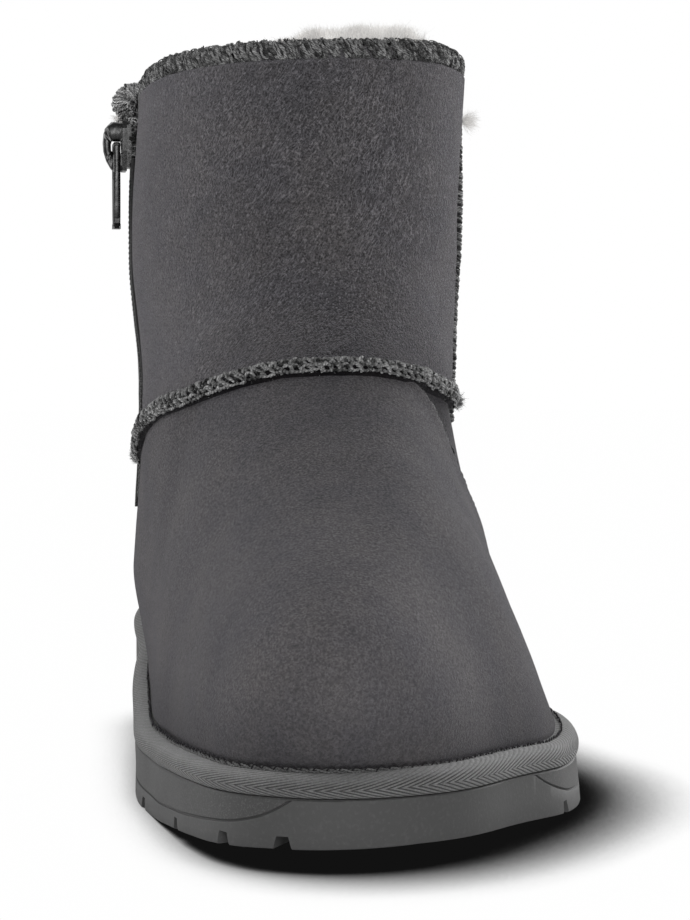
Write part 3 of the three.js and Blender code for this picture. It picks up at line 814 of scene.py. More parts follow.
# %% Edge tables
ZIP_Y, ZIP_OPENING, ZIP_BOTTOM_RISE = 18, 9.4, 46
ZIP_FRONT, ZIP_REAR = ZIP_Y - ZIP_OPENING / 2, ZIP_Y + ZIP_OPENING / 2
SIDE_SEAM_Y = -15
INSTEP = {
    "turn": (0.20, 0.235, 0.287, 0.32, 0.35, 0.392, 0.4285, 0.464, 0.50, 0.535, 0.591, 0.629, 0.656, 0.70,
             0.76),
    "rise": (60, 63.9, 71.2, 74.3, 76.2, 79.8, 82.5, 84.3, 84.8, 84.3, 82.2, 79.6, 77.6, 76.6, 76.6),
}
VAMP_INNER_EDGE = {"rise": (0, 20, 38, 46, 66), "y": (-5, 3, 11.5, ZIP_FRONT, ZIP_FRONT)}
VAMP_OUTER_EDGE = {"rise": (0, 12, 30, 50, 65, 72, 78, 84), "y": (-34, -40, -52, -66, -73, -74.5, -76.4, -79)}


def side_seam_y(rise):
    """The side seam leans forward a little at its foot."""
    return SIDE_SEAM_Y - 8 * smooth(125, 84, rise)


def instep_rise(turn):
    return read(INSTEP, "rise", turn)


SEAM_INNER_TURN = float(turn_at(62.0, ZIP_FRONT, "medial"))
SEAM_OUTER_TURN = float(turn_at(76.6, side_seam_y(76.6), "lateral"))
VAMP_OUTER_TURN = float(turn_at(82.0, -78.0, "lateral"))
print(f"instep seam turns {SEAM_INNER_TURN:.3f} to {SEAM_OUTER_TURN:.3f}, vamp ends at {VAMP_OUTER_TURN:.3f}")

# %% [markdown]
# ## Creases
# A worn-in or packed hide is never quite even. Broad soft lumps come from smooth noise, and the few
# creases that catch the eye are listed one by one: where they start and end on the last, how wide they
# are and how far they rise.

# %% Creases and lumps
CREASES = (
    {"start": (89, 0.482), "end": (96, 0.516), "bow": -2.5, "width": 0.9, "height": 0.45},
    {"start": (92, 0.36), "end": (104, 0.44), "bow": 3, "width": 5, "height": -0.5},
    {"start": (98, 0.60), "end": (112, 0.66), "bow": 3, "width": 6, "height": -0.5},
    {"start": (120, 0.30), "end": (165, 0.33), "bow": 0, "width": 8, "height": 0.5},
    {"start": (47, 0.42), "end": (49, 0.58), "bow": 5, "width": 7, "height": -0.35},
    {"start": (58, 0.40), "end": (60, 0.56), "bow": 5, "width": 8, "height": 0.3},
    {"start": (30, 0.33), "end": (62, 0.30), "bow": 0, "width": 9, "height": -0.5},
    {"start": (26, 0.86), "end": (52, 0.80), "bow": 3, "width": 8, "height": -0.6},
    {"start": (60, 0.95), "end": (64, 1.08), "bow": 4, "width": 7, "height": -0.7},
    {"start": (72, 0.90), "end": (76, 1.12), "bow": 4, "width": 8, "height": 0.5},
    {"start": (90, 0.80), "end": (104, 0.92), "bow": -3, "width": 8, "height": -0.5},
)


def relief(points):
    """How far the hide stands out from the last at each point, in millimetres."""
    total = 0.3 * lumps(points, 24, 3) + 0.1 * lumps(points, 7, 4)
    share = np.linspace(0, 1, 30)
    for crease in CREASES:
        (rise0, turn0), (rise1, turn1) = crease["start"], crease["end"]
        line = upper_point(mix(rise0, rise1, share) + crease["bow"] * np.sin(np.pi * share),
            mix(turn0, turn1, share))
        gap = np.linalg.norm(points[..., None, :] - line, axis=-1)
        nearest = gap.argmin(-1)
        fade = np.sin(np.pi * share[nearest]) ** 0.6
        total += crease["height"] * fade * np.exp(-((gap.min(-1) / crease["width"]) ** 2))
    return total


# %% [markdown]
# ## Suede panels
# Each panel is a grid between its edges. Its free edges are rolled over a round of half the hide's
# thickness and turned down, because the eye reads a cut edge's soft highlight long before it reads the
# panel. The vamp lies over the quarter, and the front shaft's outer side stands a little proud, as
# folded hide does, while its side at the zip steps back.

# %% Panel builder
HIDE = 1.7
BOUND_RISE, BOUND_DEPTH, PANEL_TOP = 166, 1.6, 169.5


def shares(rows, columns):
    """How far up and how far across each row and column of a grid is, from 0 to 1."""
    return np.linspace(0, 1, rows)[:, None], np.linspace(0, 1, columns)[None]


def panel(name, rise, turn, stand, material, rows_rolled=(), columns_rolled=(), move=None):
    """A suede panel over a grid of rises and turns that stands off the last by an amount."""
    points, normals = upper_point(rise, turn), upper_normal(rise, turn)
    points = points + normals * (stand + relief(points))[..., None]
    if move is not None:
        points = points + move(points)
    points, normals = roll_edge(points, normals, HIDE * 0.5, HIDE, rows_rolled)
    turned = roll_edge(points.swapaxes(0, 1), normals.swapaxes(0, 1), HIDE * 0.5, HIDE, columns_rolled)[0]
    points = turned.swapaxes(0, 1)
    return new_piece(name, points, grid_faces(*points.shape[:2]), material, "suede")


def bound_tuck(rise):
    """How far a panel's top steps back where the bound collar wraps it."""
    return BOUND_DEPTH * smooth(BOUND_RISE - 0.7, BOUND_RISE + 0.4, rise)


def open_corner(points):
    """How far the panels move above the slider: the quarter's corner springs out, the shaft's tucks in."""
    high, y = points[..., 2], points[..., 1]
    inner = points[..., 0] < 0
    rear = smooth(168, 186, high) * smooth(32, 3, y - ZIP_REAR) * (y > ZIP_Y) * inner
    front = np.clip((high - 154) / 34, 0, 1) ** 1.3 * smooth(-45, 11, y) * (y <= ZIP_Y) * inner
    shift = np.zeros_like(points)
    shift[..., 0] = 1.2 * front - 3.6 * rear
    shift[..., 1] = 0.8 * rear
    shift[..., 2] = -1.6 * rear - 0.9 * front
    return shift


# %% Front shaft
def shaft_grid():
    v, u = shares(170, 210)
    low = instep_rise(mix(SEAM_INNER_TURN, SEAM_OUTER_TURN, u))
    rise = mix(low, PANEL_TOP, v)
    inner = turn_at(rise[:, :1], ZIP_FRONT, "medial")
    outer = turn_at(rise[:, -1:], side_seam_y(rise[:, -1:]) - 0.4, "lateral")
    return rise, mix(inner, outer, u), u + 0 * v


rise, turn, u = shaft_grid()
stand = 0.25 - 1.15 * smooth(0.07, 0.0, u) + 1.1 * smooth(0.74, 0.9, u) * smooth(140, 96, rise)
stand = stand - bound_tuck(rise)
front_shaft = panel("front_shaft", rise, turn, stand, shaft_suede, ("start",), ("start", "end"), open_corner)


# %% Vamp
def vamp_grid():
    v, u = shares(140, 180)
    top = instep_rise(mix(SEAM_INNER_TURN, VAMP_OUTER_TURN, u))
    rise = v * top
    inner_rise, outer_rise = rise[:, :1], rise[:, -1:]
    inner = turn_at(inner_rise, read(VAMP_INNER_EDGE, "y", inner_rise), "medial")
    outer = turn_at(outer_rise, read(VAMP_OUTER_EDGE, "y", outer_rise), "lateral")
    return rise, mix(inner, outer, u), u + 0 * v


rise, turn, u = vamp_grid()
top_tuck = smooth(3.2, 1.0, instep_rise(turn) - rise)
stand = 0.15 + 0.35 * smooth(0.05, 0.0, u) + 0.6 * smooth(0.96, 1.0, u)
stand = stand - 1.0 * smooth(2.2, 0.0, rise) - 0.2 * top_tuck
vamp = panel("vamp", rise, turn, stand, suede, (), ("start", "end"))


# %% Quarter
def quarter_grid():
    v, u = shares(110, 170)
    level = v * PANEL_TOP
    outer_y = read(VAMP_OUTER_EDGE, "y", level) - 4
    outer_y = mix(outer_y, side_seam_y(level) - 6, smooth(84, 98, level))
    inner_y = np.where(level < ZIP_BOTTOM_RISE - 1, read(VAMP_INNER_EDGE, "y", level) - 4, ZIP_REAR)
    outer = turn_at(level, outer_y, "lateral")
    inner = 1 + turn_at(level, inner_y, "medial")
    return level + 0 * u, mix(outer, inner, u)


rise, turn = quarter_grid()
across = np.linspace(0, 1, rise.shape[1])[None]
stand = -0.45 - 1.3 * smooth(0.09, 0.0, across) * smooth(90, 84, rise)
stand = stand - 0.8 * smooth(2.2, 0.0, rise) - bound_tuck(rise)
quarter = panel("quarter", rise, turn, stand, quarter_suede, (), ("end",), open_corner)
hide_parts("upper")
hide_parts("upper")
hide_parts("upper")


# %% Heel counter
COUNTER = {"foot": 0.4, "height": 47, "half_turn": 0.128}


def counter_grid():
    v, u = shares(70, 120)
    u = 2 * u - 1
    top = COUNTER["height"] - 7 * u**2 - 7 * u**8
    return COUNTER["foot"] + v * top, 1 + u * COUNTER["half_turn"] * (1 - 0.12 * v)


rise, turn = counter_grid()
counter = panel("heel_counter", rise, turn, np.full_like(rise, 0.75), suede, ("end",), ("start", "end"))
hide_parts("upper")

# %% [markdown]
# ## Sewn yarn
# An overlock machine wraps an edge with loops of yarn, so a sewn seam is a soft round core under
# hundreds of short strands. One loop is a few control points, given along, across and out of the seam.
# The same loop is set down again at every pitch with a little jitter, then each strand becomes a thin
# twisted tube.

# %% Stitch helpers
CORE_STEP = 0.8


def curve(control, steps):
    """A smooth line through control points."""
    p = np.array(control, float)
    p = np.vstack([2 * p[0] - p[1], p, 2 * p[-1] - p[-2]])
    place = np.linspace(0, len(control) - 1, steps)
    i = np.minimum(place.astype(int), len(control) - 2)
    t = (place - i)[:, None]
    a, b, c, d = p[i], p[i + 1], p[i + 2], p[i + 3]
    return 0.5 * (2 * b + (c - a) * t + (2 * a - 5 * b + 4 * c - d) * t**2 + (3 * b - a - 3 * c + d) * t**3)


def sewn(path, starts, control, steps, jitter, curl=0.0):
    """A strand set down at each start on a path, with some jitter and curl: lines of (starts, steps, 3)."""
    shape = curve(control, steps)
    count = len(starts)
    wander = rng.normal(size=(3, count, 2)) * jitter
    share = np.linspace(0, 1, steps)
    offset = [mix(wander[k, :, :1], wander[k, :, 1:], share) for k in range(3)]
    if curl:
        phase = rng.uniform(0, 2 * np.pi, (3, count, 1)) + share * rng.uniform(12, 24, (3, count, 1))
        offset = [offset[k] + curl * np.sin(phase[k]) for k in range(3)]
    a, b, n = (shape[None, :, k] + offset[k] for k in range(3))
    return on_path(path, np.asarray(starts)[:, None], a, b, n)


def yarn(name, lines, radius, material, sides=6, dark=0.0, knotty=0.1):
    """Twisted strands as one piece, each with a random shade."""
    count, steps = lines.shape[:2]
    swell = radius * np.clip(1 + knotty * rng.normal(size=(count, steps)), 0.5, 1.6)
    points, faces, uv = tubes(lines, swell, sides)
    uv = uv + np.repeat(rng.uniform(0, 20, (count, 1)), steps * sides, 0).reshape(-1, 1) * [0, 1]
    mottle = rng.uniform(0, 1, (count, 1)) + knotty * 1.6 * rng.normal(size=(count, steps)) - dark
    shade = np.repeat(np.clip(mottle, 0, 1), sides)
    return new_piece(name, points, faces, material, "suede", uv=uv, shade=shade)


def core(name, path, width, height, material, sink=0.5):
    """The soft half round under a sewn seam."""
    s = np.linspace(0, path[4][-1], int(path[4][-1] / CORE_STEP))
    angle = np.radians(np.linspace(-105, 105, 11))[:, None]
    wave = 1 + 0.06 * lumps(np.stack([s, 0 * s, 0 * s], -1), 3, 5)
    b, n = width / 2 * np.sin(angle) * wave, height * np.cos(angle) * wave - sink
    points = on_path(path, s[None] + 0 * angle, 0, b, n)
    return new_piece(name, points, grid_faces(*points.shape[:2]), material, "suede")


def fuzz_on(name, path, s, b, n, length, outward=0.7):
    """Short loose hairs that stand off a seam."""
    count = len(s)
    roots = on_path(path, s, 0, b, n)
    lean = unit(rng.normal(size=(count, 3)))
    out = on_path(path, s, 0, b, n + 1.0) - roots
    way = unit(out * outward + lean * (1 - outward))
    tips = roots + way * (length * rng.uniform(0.4, 1, count))[:, None]
    bend = rng.normal(size=(count, 3)) * length.mean() * 0.12
    points, faces = ribbons(roots, tips, bend, rng.uniform(0.07, 0.13, count))
    shade = np.repeat(rng.uniform(0, 1, count), RIBBON_POINTS)
    return new_piece(name, points, faces, fuzz, "suede", shade=shade)


# %% Instep seam
INSTEP_PITCH, FUZZ_HAIRS = 2.4, 4200
FULLER = np.array([1.0, 1.12, 1.12])
INSTEP_LOOPS = {
    "upper": [(-0.7, 2.6, -0.3), (-0.45, 2.5, 0.9), (0.1, 1.75, 1.75), (0.75, 0.8, 2.0), (1.25, 0.1, 1.7)],
    "second": [(0.3, 2.5, -0.2), (0.45, 2.35, 0.95), (0.9, 1.6, 1.8), (1.5, 0.7, 2.05), (2.0, 0.0, 1.65)],
    "low": [(-1.0, -0.1, 1.6), (-0.2, -0.55, 2.15), (0.7, -1.3, 1.85), (1.2, -1.95, 1.0)],
    "chain": [(-1.5, -1.15, 1.5), (-0.7, -0.75, 2.05), (0.25, -0.65, 2.2), (1.0, -1.0, 1.95),
              (1.5, -1.6, 1.3)],
    "link": [(-1.2, -1.5, 1.3), (-0.4, -1.85, 1.35), (0.6, -1.8, 1.35), (1.4, -1.3, 1.6)],
}
CROSS_LOOP = [(2.1, 2.3, 0.6), (1.8, 1.7, 1.7), (1.15, 0.9, 2.2), (0.5, 0.2, 1.9)]
turns = np.linspace(SEAM_INNER_TURN - 0.004, SEAM_OUTER_TURN + 0.004, 260)
instep = surface_path(instep_rise(turns), turns, 0.2)
INSTEP_LENGTH = float(instep[4][-1])
# The core's near-black suede is painted shade between the yarn loops.
core("instep_seam_core", instep, 5.0, 2.4, shadow_suede)
starts = np.arange(0.4, INSTEP_LENGTH - 0.4, INSTEP_PITCH)
lines = [sewn(instep, starts, loop * FULLER, 9, 0.2) for loop in INSTEP_LOOPS.values()]
crossed = starts[(starts > 30) & (rng.uniform(size=len(starts)) < 0.85)]
lines.append(sewn(instep, crossed, CROSS_LOOP * FULLER, 9, 0.2))
yarn("instep_seam_yarn", np.concatenate(lines), 0.38, seam_yarn, sides=7, knotty=0.18)
near = rng.uniform(0, 1, FUZZ_HAIRS) ** 1.9 * INSTEP_LENGTH
near[rng.uniform(size=FUZZ_HAIRS) < 0.3] *= -1
near = np.where(near < 0, INSTEP_LENGTH + near * 0.2, near)
b = rng.normal(0, 1.3, FUZZ_HAIRS)
fluffy = 0.7 + 1.5 * smooth(26, 4, near) + 1.4 * smooth(INSTEP_LENGTH - 34, INSTEP_LENGTH - 14, near)
fuzz_on("instep_seam_fuzz", instep, near, b, 2.1 - 0.25 * b**2, fluffy)

# %% Painted shadow strips along the vamp's edges, under the seam and over the quarter, and the lap's thread
under_turns = np.linspace(SEAM_INNER_TURN, VAMP_OUTER_TURN, 200)
# Painted shadow: a near-black strip just under the instep seam.
seam_shadow_path = surface_path(instep_rise(under_turns) - 1.9, under_turns, -0.3)
core("instep_seam_shadow", seam_shadow_path, 1.0, 0.5, shadow_suede, sink=0.3)
levels = np.linspace(3, 82, 160)
lap = surface_path(levels, turn_at(levels, read(VAMP_OUTER_EDGE, "y", levels) + 0.8, "lateral"), -0.1)
# Painted shadow: a dark strip along the vamp's outer edge, where it laps over the quarter.
core("vamp_lap_shadow", lap, 2.0, 0.7, seam_shade_suede, sink=0.2)
lap_ends = np.arange(0.5, lap[4][-1] - 2, 1.9)
lap_thread = [(-0.9, 0.3, 0.3), (-0.3, 0.55, 0.6), (0.5, 0.45, 0.6), (1.1, 0.1, 0.35)]
yarn("vamp_lap_thread", sewn(lap, lap_ends, lap_thread, 7, 0.12), 0.22, seam_yarn, sides=5, dark=0.45)


# %% Side and back seams
def overlocked(name, path):
    """A raised seam with loops over it, each of three strands."""
    pitch, width, height = 2.5, 3.4, 2.5
    # The core's darker suede is painted shade between the loops.
    core(name + "_core", path, width, height, seam_shade_suede)
    ends = np.arange(1.0, path[4][-1] - 1.0, pitch)
    half, top = width / 2, height + 0.1
    loops = []
    for shift in (-0.6, 0.0, 0.6):
        over = [(shift - 1.0, -half - 0.3, -0.4), (shift - 0.6, -half, top * 0.5),
            (shift - 0.1, -0.3, top - 0.25)]
        over += [(shift + 0.5, half * 0.75, top * 0.72), (shift + 0.9, half + 0.35, -0.3)]
        loops.append(sewn(path, ends, over, 9, 0.1))
    yarn(name + "_yarn", np.concatenate(loops), 0.36, seam_yarn, dark=0.25)
    count = int(path[4][-1] * 9)
    s, b = rng.uniform(0, path[4][-1], count), rng.normal(0, width * 0.3, count)
    fuzz_on(name + "_fuzz", path, s, b, height - 0.7 - 0.4 * b**2, np.full(count, 1.0))


levels = np.linspace(70, 164, 160)
side_out = 0.6 - 0.8 * smooth(84, 110, levels) - 1.8 * smooth(125, 160, levels)
overlocked("side_seam", surface_path(levels, turn_at(levels, side_seam_y(levels), "lateral"), side_out))
levels = np.linspace(78, 160, 160)
edge_turns = turn_at(levels, side_seam_y(levels) - 0.8, "lateral")
shaft_edge = surface_path(levels, edge_turns, 0.1 + 1.1 * smooth(140, 96, levels))
core("shaft_cut_edge", shaft_edge, 0.8, 0.75, edge_suede, sink=0.1)
overlocked("back_seam", surface_path(np.linspace(45, 164, 160), np.zeros(160), -0.9))

# %% [markdown]
# ## Collar
# The top edge is bound in a strip of hide, and a thick yarn is whipped over it: down the outside, over
# the rim and back inside. One bundle of six strands is drawn once as points across and out of the rim,
# and set down at every pitch. Loose knots, lit edge threads and short fuzz then make it as uneven as
# hand-fed yarn.

# %% Collar whipstitch
WHIP_PITCH, COLLAR_COLUMNS, KNOTS = 3.7, 420, 900
collar_rear_turn = 1 + float(turn_at(COLLAR_RISE - 1, ZIP_REAR, "medial"))
collar_front_turn = float(turn_at(COLLAR_RISE - 1, ZIP_FRONT, "medial"))
turns = np.linspace(collar_front_turn, collar_rear_turn, COLLAR_COLUMNS)
rim_points, rim_normals = upper_point(COLLAR_RISE, turns), upper_normal(COLLAR_RISE - 1, turns)
rim_points = rim_points + open_corner(rim_points)
rim_points[:, 2] += 0.7 * np.exp(-(((turns - 0.6) / 0.05) ** 2))
level_normals = unit(rim_normals * [1, 1, 0])
collar_path = (rim_points, *path_frames(rim_points, level_normals))
COLLAR_RUN = float(collar_path[4][-1])
whip = [
    (1.25, -5.1, -2.0), (1.0, -4.7, -1.35), (0.4, -3.7, -0.95), (-0.2, -2.5, -0.95), (-0.7, -1.3, -1.35),
    (-1.0, -0.5, -2.1), (-1.1, -0.35, -3.1), (-0.9, -0.6, -4.8), (-0.5, -1.5, -6.2), (0.2, -3.2, -6.7),
    (0.7, -5.0, -6.4),
]
bundles = np.arange(WHIP_PITCH / 2, COLLAR_RUN - 1, WHIP_PITCH)
bundles = bundles + rng.normal(0, 0.16, len(bundles))
lines = []
for place in np.linspace(-1, 1, 6):
    puff = 0.35 * (1 - place**2)
    tilt = rng.normal(0, 0.35)
    strand = [
        (a + place * 1.4 + tilt * (k / 5 - 1), b + puff * smooth(-2.4, -0.3, b),
            n + puff * smooth(-4, -1.2, n))
        for k, (a, b, n) in enumerate(whip)
    ]
    lines.append(sewn(collar_path, bundles, strand, 23, 0.28, curl=0.27))
yarn("collar_whipstitch", np.concatenate(lines), 0.38, collar_yarn, sides=5, knotty=0.24)
knots = np.sort(rng.uniform(1, COLLAR_RUN - 1, KNOTS))
knot_lines = []
for group in np.array_split(rng.permutation(knots), 10):
    b, n = whip[rng.integers(1, 9)][1:]
    b, n = b + rng.uniform(-0.4, 0.4), n + rng.uniform(-0.2, 0.3)
    knot = [(-0.9, b - 0.5, n), (-0.3, b + 0.1, n + 0.5), (0.5, b + 0.3, n + 0.1)]
    knot_lines.append(sewn(collar_path, group, knot, 8, 0.35, curl=0.34))
yarn("collar_knots", np.concatenate(knot_lines), 0.27, collar_yarn, sides=4)
edge_thread = [(0.6, -2.4, 0.2), (0.1, -1.3, 0.1), (-0.6, -0.3, -0.4), (-1.1, 0.35, -1.5), (-1.2, 0.45, -2.8)]
lit = bundles[rng.uniform(size=len(bundles)) < 0.65] + WHIP_PITCH / 2
yarn("collar_edge_thread", sewn(collar_path, lit, edge_thread, 9, 0.12), 0.17, seam_yarn, sides=5)


def collar_band():
    """The bound edge that the whipstitch wraps, in near-black suede: painted shade between the bundles."""
    rows, inset, centre = 26, 0.5, np.array([-3.4, -3.6])
    offset = curve([(0, b, n) for _, b, n in whip], rows)[:, 1:] - centre
    shrunk = centre + offset * (1 - inset / np.linalg.norm(offset, axis=1, keepdims=True))
    s = np.linspace(0, COLLAR_RUN, COLLAR_COLUMNS)[None] + np.zeros((rows, 1))
    points = on_path(collar_path, s, 0, shrunk[:, :1] + 0 * s, shrunk[:, 1:] + 0 * s)
    return new_piece("collar_band", points, grid_faces(rows, COLLAR_COLUMNS), shadow_suede, "suede")


collar_base = collar_band()
count = 7600
s = rng.uniform(0, COLLAR_RUN, count)
b = rng.uniform(-5.2, -0.2, count)
fuzz_on("collar_fuzz", collar_path, s, b, -0.6 - 0.12 * (b + 2.6) ** 2, np.full(count, 0.9), 0.5)
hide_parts("upper")
print(f"collar: {len(bundles)} bundles of yarn over {COLLAR_RUN:.0f} mm")

# %% [markdown]
# ## Wool pile
# The boot is lined with sheared wool. A lumpy shell stands for the dense ground of the pile, and many
# thin ribbons stand up from it, gathered in locks that lean the same way. They are longest at the front
# of the collar, where the pile spills over the rim, and they thin out deep in the leg, where nobody sees
# single hairs.

# %% Lining shell
LINING, PILE_FLARE = 5.8, 0.8


def lining_shell():
    """The dense ground of the pile, open where the zip is."""
    rows, columns = 90, 200
    rise = np.concatenate([np.linspace(4, 150, rows - 30), np.linspace(151, COLLAR_RISE - 0.6, 30)])[:, None]
    turn = np.linspace(0, 1, columns, endpoint=False)[None]
    points, normals = upper_point(rise, turn), upper_normal(rise, turn)
    depth = LINING + 0.9 * lumps(points, 4.5, 8) + 0.5 * lumps(points, 2.2, 9)
    points = points + open_corner(points) * PILE_FLARE - normals * depth[..., None]
    points[..., 2] = np.maximum(points[..., 2], feather_at(points[..., 0], points[..., 1]) + 1.0)
    faces = grid_faces(rows, columns, round_columns=True)[:, ::-1]
    middle = turn[0, faces[:, 0] % columns]
    level = rise[faces[:, 0] // columns, 0]
    gap = (middle > collar_front_turn - 0.004) & (middle < collar_rear_turn - 1) & (level > 132)
    shade = rng.uniform(0, 1, points.shape[:2])
    return new_piece("wool_lining", points, faces[~gap], wool_ground, "fleece", shade=shade)


lining_shell()


def insole_top():
    """The wool footbed, laid over the CAD one and run out under the lining."""
    rows, columns = 40, 150
    turn = np.linspace(0, 1, columns, endpoint=False)[None]
    share = np.linspace(0.002, 1, rows)[:, None]
    edge = outline_point(turn, np.full_like(turn, -3.2))
    middle = np.stack([middle_at(edge[..., 1]), np.clip(edge[..., 1], -165, 60)], -1)
    flat = middle + (edge - middle) * share[..., None]
    lift = 6.2 + 0.7 * lumps(np.concatenate([flat, 0 * flat[..., :1]], -1), 5, 12)
    z = feather_at(flat[..., 0], flat[..., 1]) + lift
    points = np.concatenate([flat, z[..., None]], -1)
    faces = grid_faces(rows, columns, round_columns=True)[:, ::-1]
    shade = rng.uniform(0, 1, points.shape[:2])
    return new_piece("wool_footbed", points, faces, wool_ground, "fleece", shade=shade)


footbed = insole_top()
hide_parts("insole")


# %% Pile hairs
UP = np.array([0, 0, 1.0])


def locks(points, size, seed):
    """A direction that changes slowly from hair to hair, so that they lean together."""
    return np.stack([lumps(points, size, seed + k) for k in range(3)], -1)


def pile(name, rise, turn, depths, up, seed, widths):
    """Hairs rooted inside the leg, leaning in locks."""
    depth, length, width = (rng.uniform(*span, len(turn)) for span in (depths, (3.0, 5.0), widths))
    points, normals = upper_point(rise, turn), upper_normal(np.minimum(rise, 168), turn)
    roots = points + open_corner(points) * PILE_FLARE - normals * depth[:, None]
    way = -normals * 0.75 + UP * up + locks(roots, 3.2, seed) * 0.9
    way = unit(way + rng.normal(size=roots.shape) * 0.22)
    tips = roots + way * length[:, None]
    bend = rng.normal(size=roots.shape) * (length * 0.12)[:, None]
    shapes, faces = ribbons(roots, tips, bend, width)
    shade = 0.55 + 0.35 * lumps(roots, 3.2, seed + 5) + rng.normal(0, 0.16, len(roots))
    shade = np.repeat(np.clip(shade, 0, 1), RIBBON_POINTS)
    return new_piece(name, shapes, faces, wool, "fleece", shade=shade)


HAIRS = {"collar": 13000, "leg": 8000, "spilled": 10000}
PILE_DEEP = COLLAR_RISE - 15
turn = rng.uniform(0, 1, HAIRS["collar"])
turn = turn[(turn < collar_front_turn - 0.002) | (turn > collar_rear_turn - 1 + 0.002)]
rise = rng.uniform(PILE_DEEP, COLLAR_RISE - 1.5, len(turn))
pile("collar_pile", rise, turn, (4.8, 6.6), 0.25, 21, (0.16, 0.26))
turn = rng.uniform(0, 1, HAIRS["leg"])
rise = rng.uniform(30, PILE_DEEP, HAIRS["leg"])
pile("leg_pile", rise, turn, (4.8, 6.4), 0.1, 31, (0.3, 0.46))


# %% Pile that spills over the front of the rim
def spill(turn):
    """How high the pile stands over the rim, round the collar."""
    return 4.4 * smooth(0.462, 0.505, turn) * smooth(0.622, 0.575, turn)


count = HAIRS["spilled"]
turn = rng.uniform(0.455, 0.625, count)
tall = spill(turn)
points, normals = upper_point(COLLAR_RISE, turn), upper_normal(COLLAR_RISE - 2, turn)
depth = rng.uniform(4.6, 9.5, count)[:, None]
roots = points - normals * depth - UP * rng.uniform(0.5, 3.5, count)[:, None]
lock = locks(points * [1, 1, 0] - normals * depth, 2.6, 41)
way = unit(UP + lock * [0.55, 0.5, 0.12] + rng.normal(size=roots.shape) * 0.2)
reach = tall * rng.uniform(0.55, 1.05, count) * (1 - 0.35 * np.abs(lock[:, 2]))
reach = reach + rng.uniform(0.4, 1.2, count)
tips = roots + way * ((reach + points[:, 2] - roots[:, 2]) / way[:, 2])[:, None]
bend = rng.normal(size=roots.shape) * 0.45
shapes, faces = ribbons(roots, tips, bend, rng.uniform(0.13, 0.22, count))
shade = np.clip(0.5 + 0.4 * lock[:, 0] + rng.normal(0, 0.18, count), 0, 1)
new_piece("spilled_pile", shapes, faces, wool, "fleece", shade=np.repeat(shade, RIBBON_POINTS))


# %% Tufts that slip out through the seams
def tuft(name, root, way, count, length, width, cone=0.55, material=wool, slot="fleece"):
    """A small fan of hairs from one needle hole."""
    roots = np.array(root, float) + rng.normal(size=(count, 3)) * 0.5
    lean = unit(np.array(way, float) + rng.normal(size=(count, 3)) * cone)
    tips = roots + lean * (length * rng.uniform(0.35, 1.0, count))[:, None]
    bend = rng.normal(size=(count, 3)) * 0.5
    points, faces = ribbons(roots, tips, bend, rng.uniform(*width, count))
    shade = np.repeat(rng.uniform(0, 1, count), RIBBON_POINTS)
    return new_piece(name, points, faces, material, slot, shade=shade)


side_hole = upper_point(154.5, turn_at(154.5, SIDE_SEAM_Y, "lateral"))
tuft("side_tuft", side_hole + [1.4, 0, 0], (1.0, -0.2, -0.05), 420, 5.2, (0.07, 0.12))
seam_end = upper_point(76.6, 0.715)
tuft("seam_end_tuft", seam_end + [2.2, -0.5, -0.6], (1.0, -0.4, -0.3), 500, 3.0, (0.08, 0.14), 0.8, fuzz,
     "suede")

# %% [markdown]
# ## Zip
# The zip's tape, slider and pull are CAD pieces of the right shape, so they only get cloth and black
# metal, with a small bevel for the highlights that cast metal shows along its edges. The teeth are
# added: two rows of little blocks that interlock up the chain, and the thin bound edges that guard it on
# both sides.

# %% Zip pieces
def dress(node, material, bevel=None):
    """A material, and perhaps rounded edges, on a CAD node."""
    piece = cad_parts[node]
    piece.data.materials.clear()
    piece.data.materials.append(material)
    if bevel:
        rounded = piece.modifiers.new("rounded edges", "BEVEL")
        rounded.width, rounded.segments, rounded.angle_limit = bevel * MM, 3, math.radians(32)
        rounded.limit_method = "ANGLE"
        rounded.harden_normals = True
    return piece


dress("zip_tape", zip_cloth)
dress("zip_slider", black_metal, 0.45)
dress("zip_pull", black_metal, 0.4)

TOOTH_PITCH, TOOTH_SIZE, CHAIN = 1.5, (1.1, 2.6, 1.05), (69.5, 163.2)
BOX_FACES = np.array([[0, 1, 3, 2], [4, 6, 7, 5], [0, 4, 5, 1], [2, 3, 7, 6], [0, 2, 6, 4], [1, 5, 7, 3]])


def zip_line(z, y, out):
    """Points on the inner side's skin at heights z on one line y, standing out by a distance."""
    rises = np.linspace(20, COLLAR_RISE, 400)
    points = upper_point(rises, turn_at(rises, y, "medial"))
    x = np.interp(z, points[:, 2], points[:, 0])
    return np.stack([x - out, np.full_like(x, y), z], -1)


def blocks(centres, size, chamfer=0.3):
    """Small blocks with sloping ends."""
    corner = np.array([[x, y, z] for x in (-1, 1) for y in (-1, 1) for z in (-1, 1)]) * np.array(size) / 2
    corner[:4, 1:] *= 1 - chamfer
    points = centres[:, None] + corner
    faces = (np.arange(len(centres))[:, None, None] * 8 + BOX_FACES).reshape(-1, 4)
    return points.reshape(-1, 3), faces


heights = np.arange(*CHAIN, TOOTH_PITCH / 2)
centres = zip_line(heights, ZIP_Y, 0.2)
centres[:, 1] += np.where(np.arange(len(heights)) % 2, 0.85, -0.85)
new_piece("zip_teeth", *blocks(centres, TOOTH_SIZE), coil_plastic, "zip_metal")


def guard(name, y, out, radius, top):
    """A thin bound edge beside the zip."""
    line = zip_line(np.linspace(66, top, 150), y, out)
    line[:, 1] += 0.25 * lumps(line, 7, 14)
    line[:, 0] += 0.2 * lumps(line, 5, 15)
    points, faces, uv = tubes(line[None], radius, 10)
    return new_piece(name, points, faces, binding_cloth, "zip_fabric", uv=uv * [4 * radius, 1])


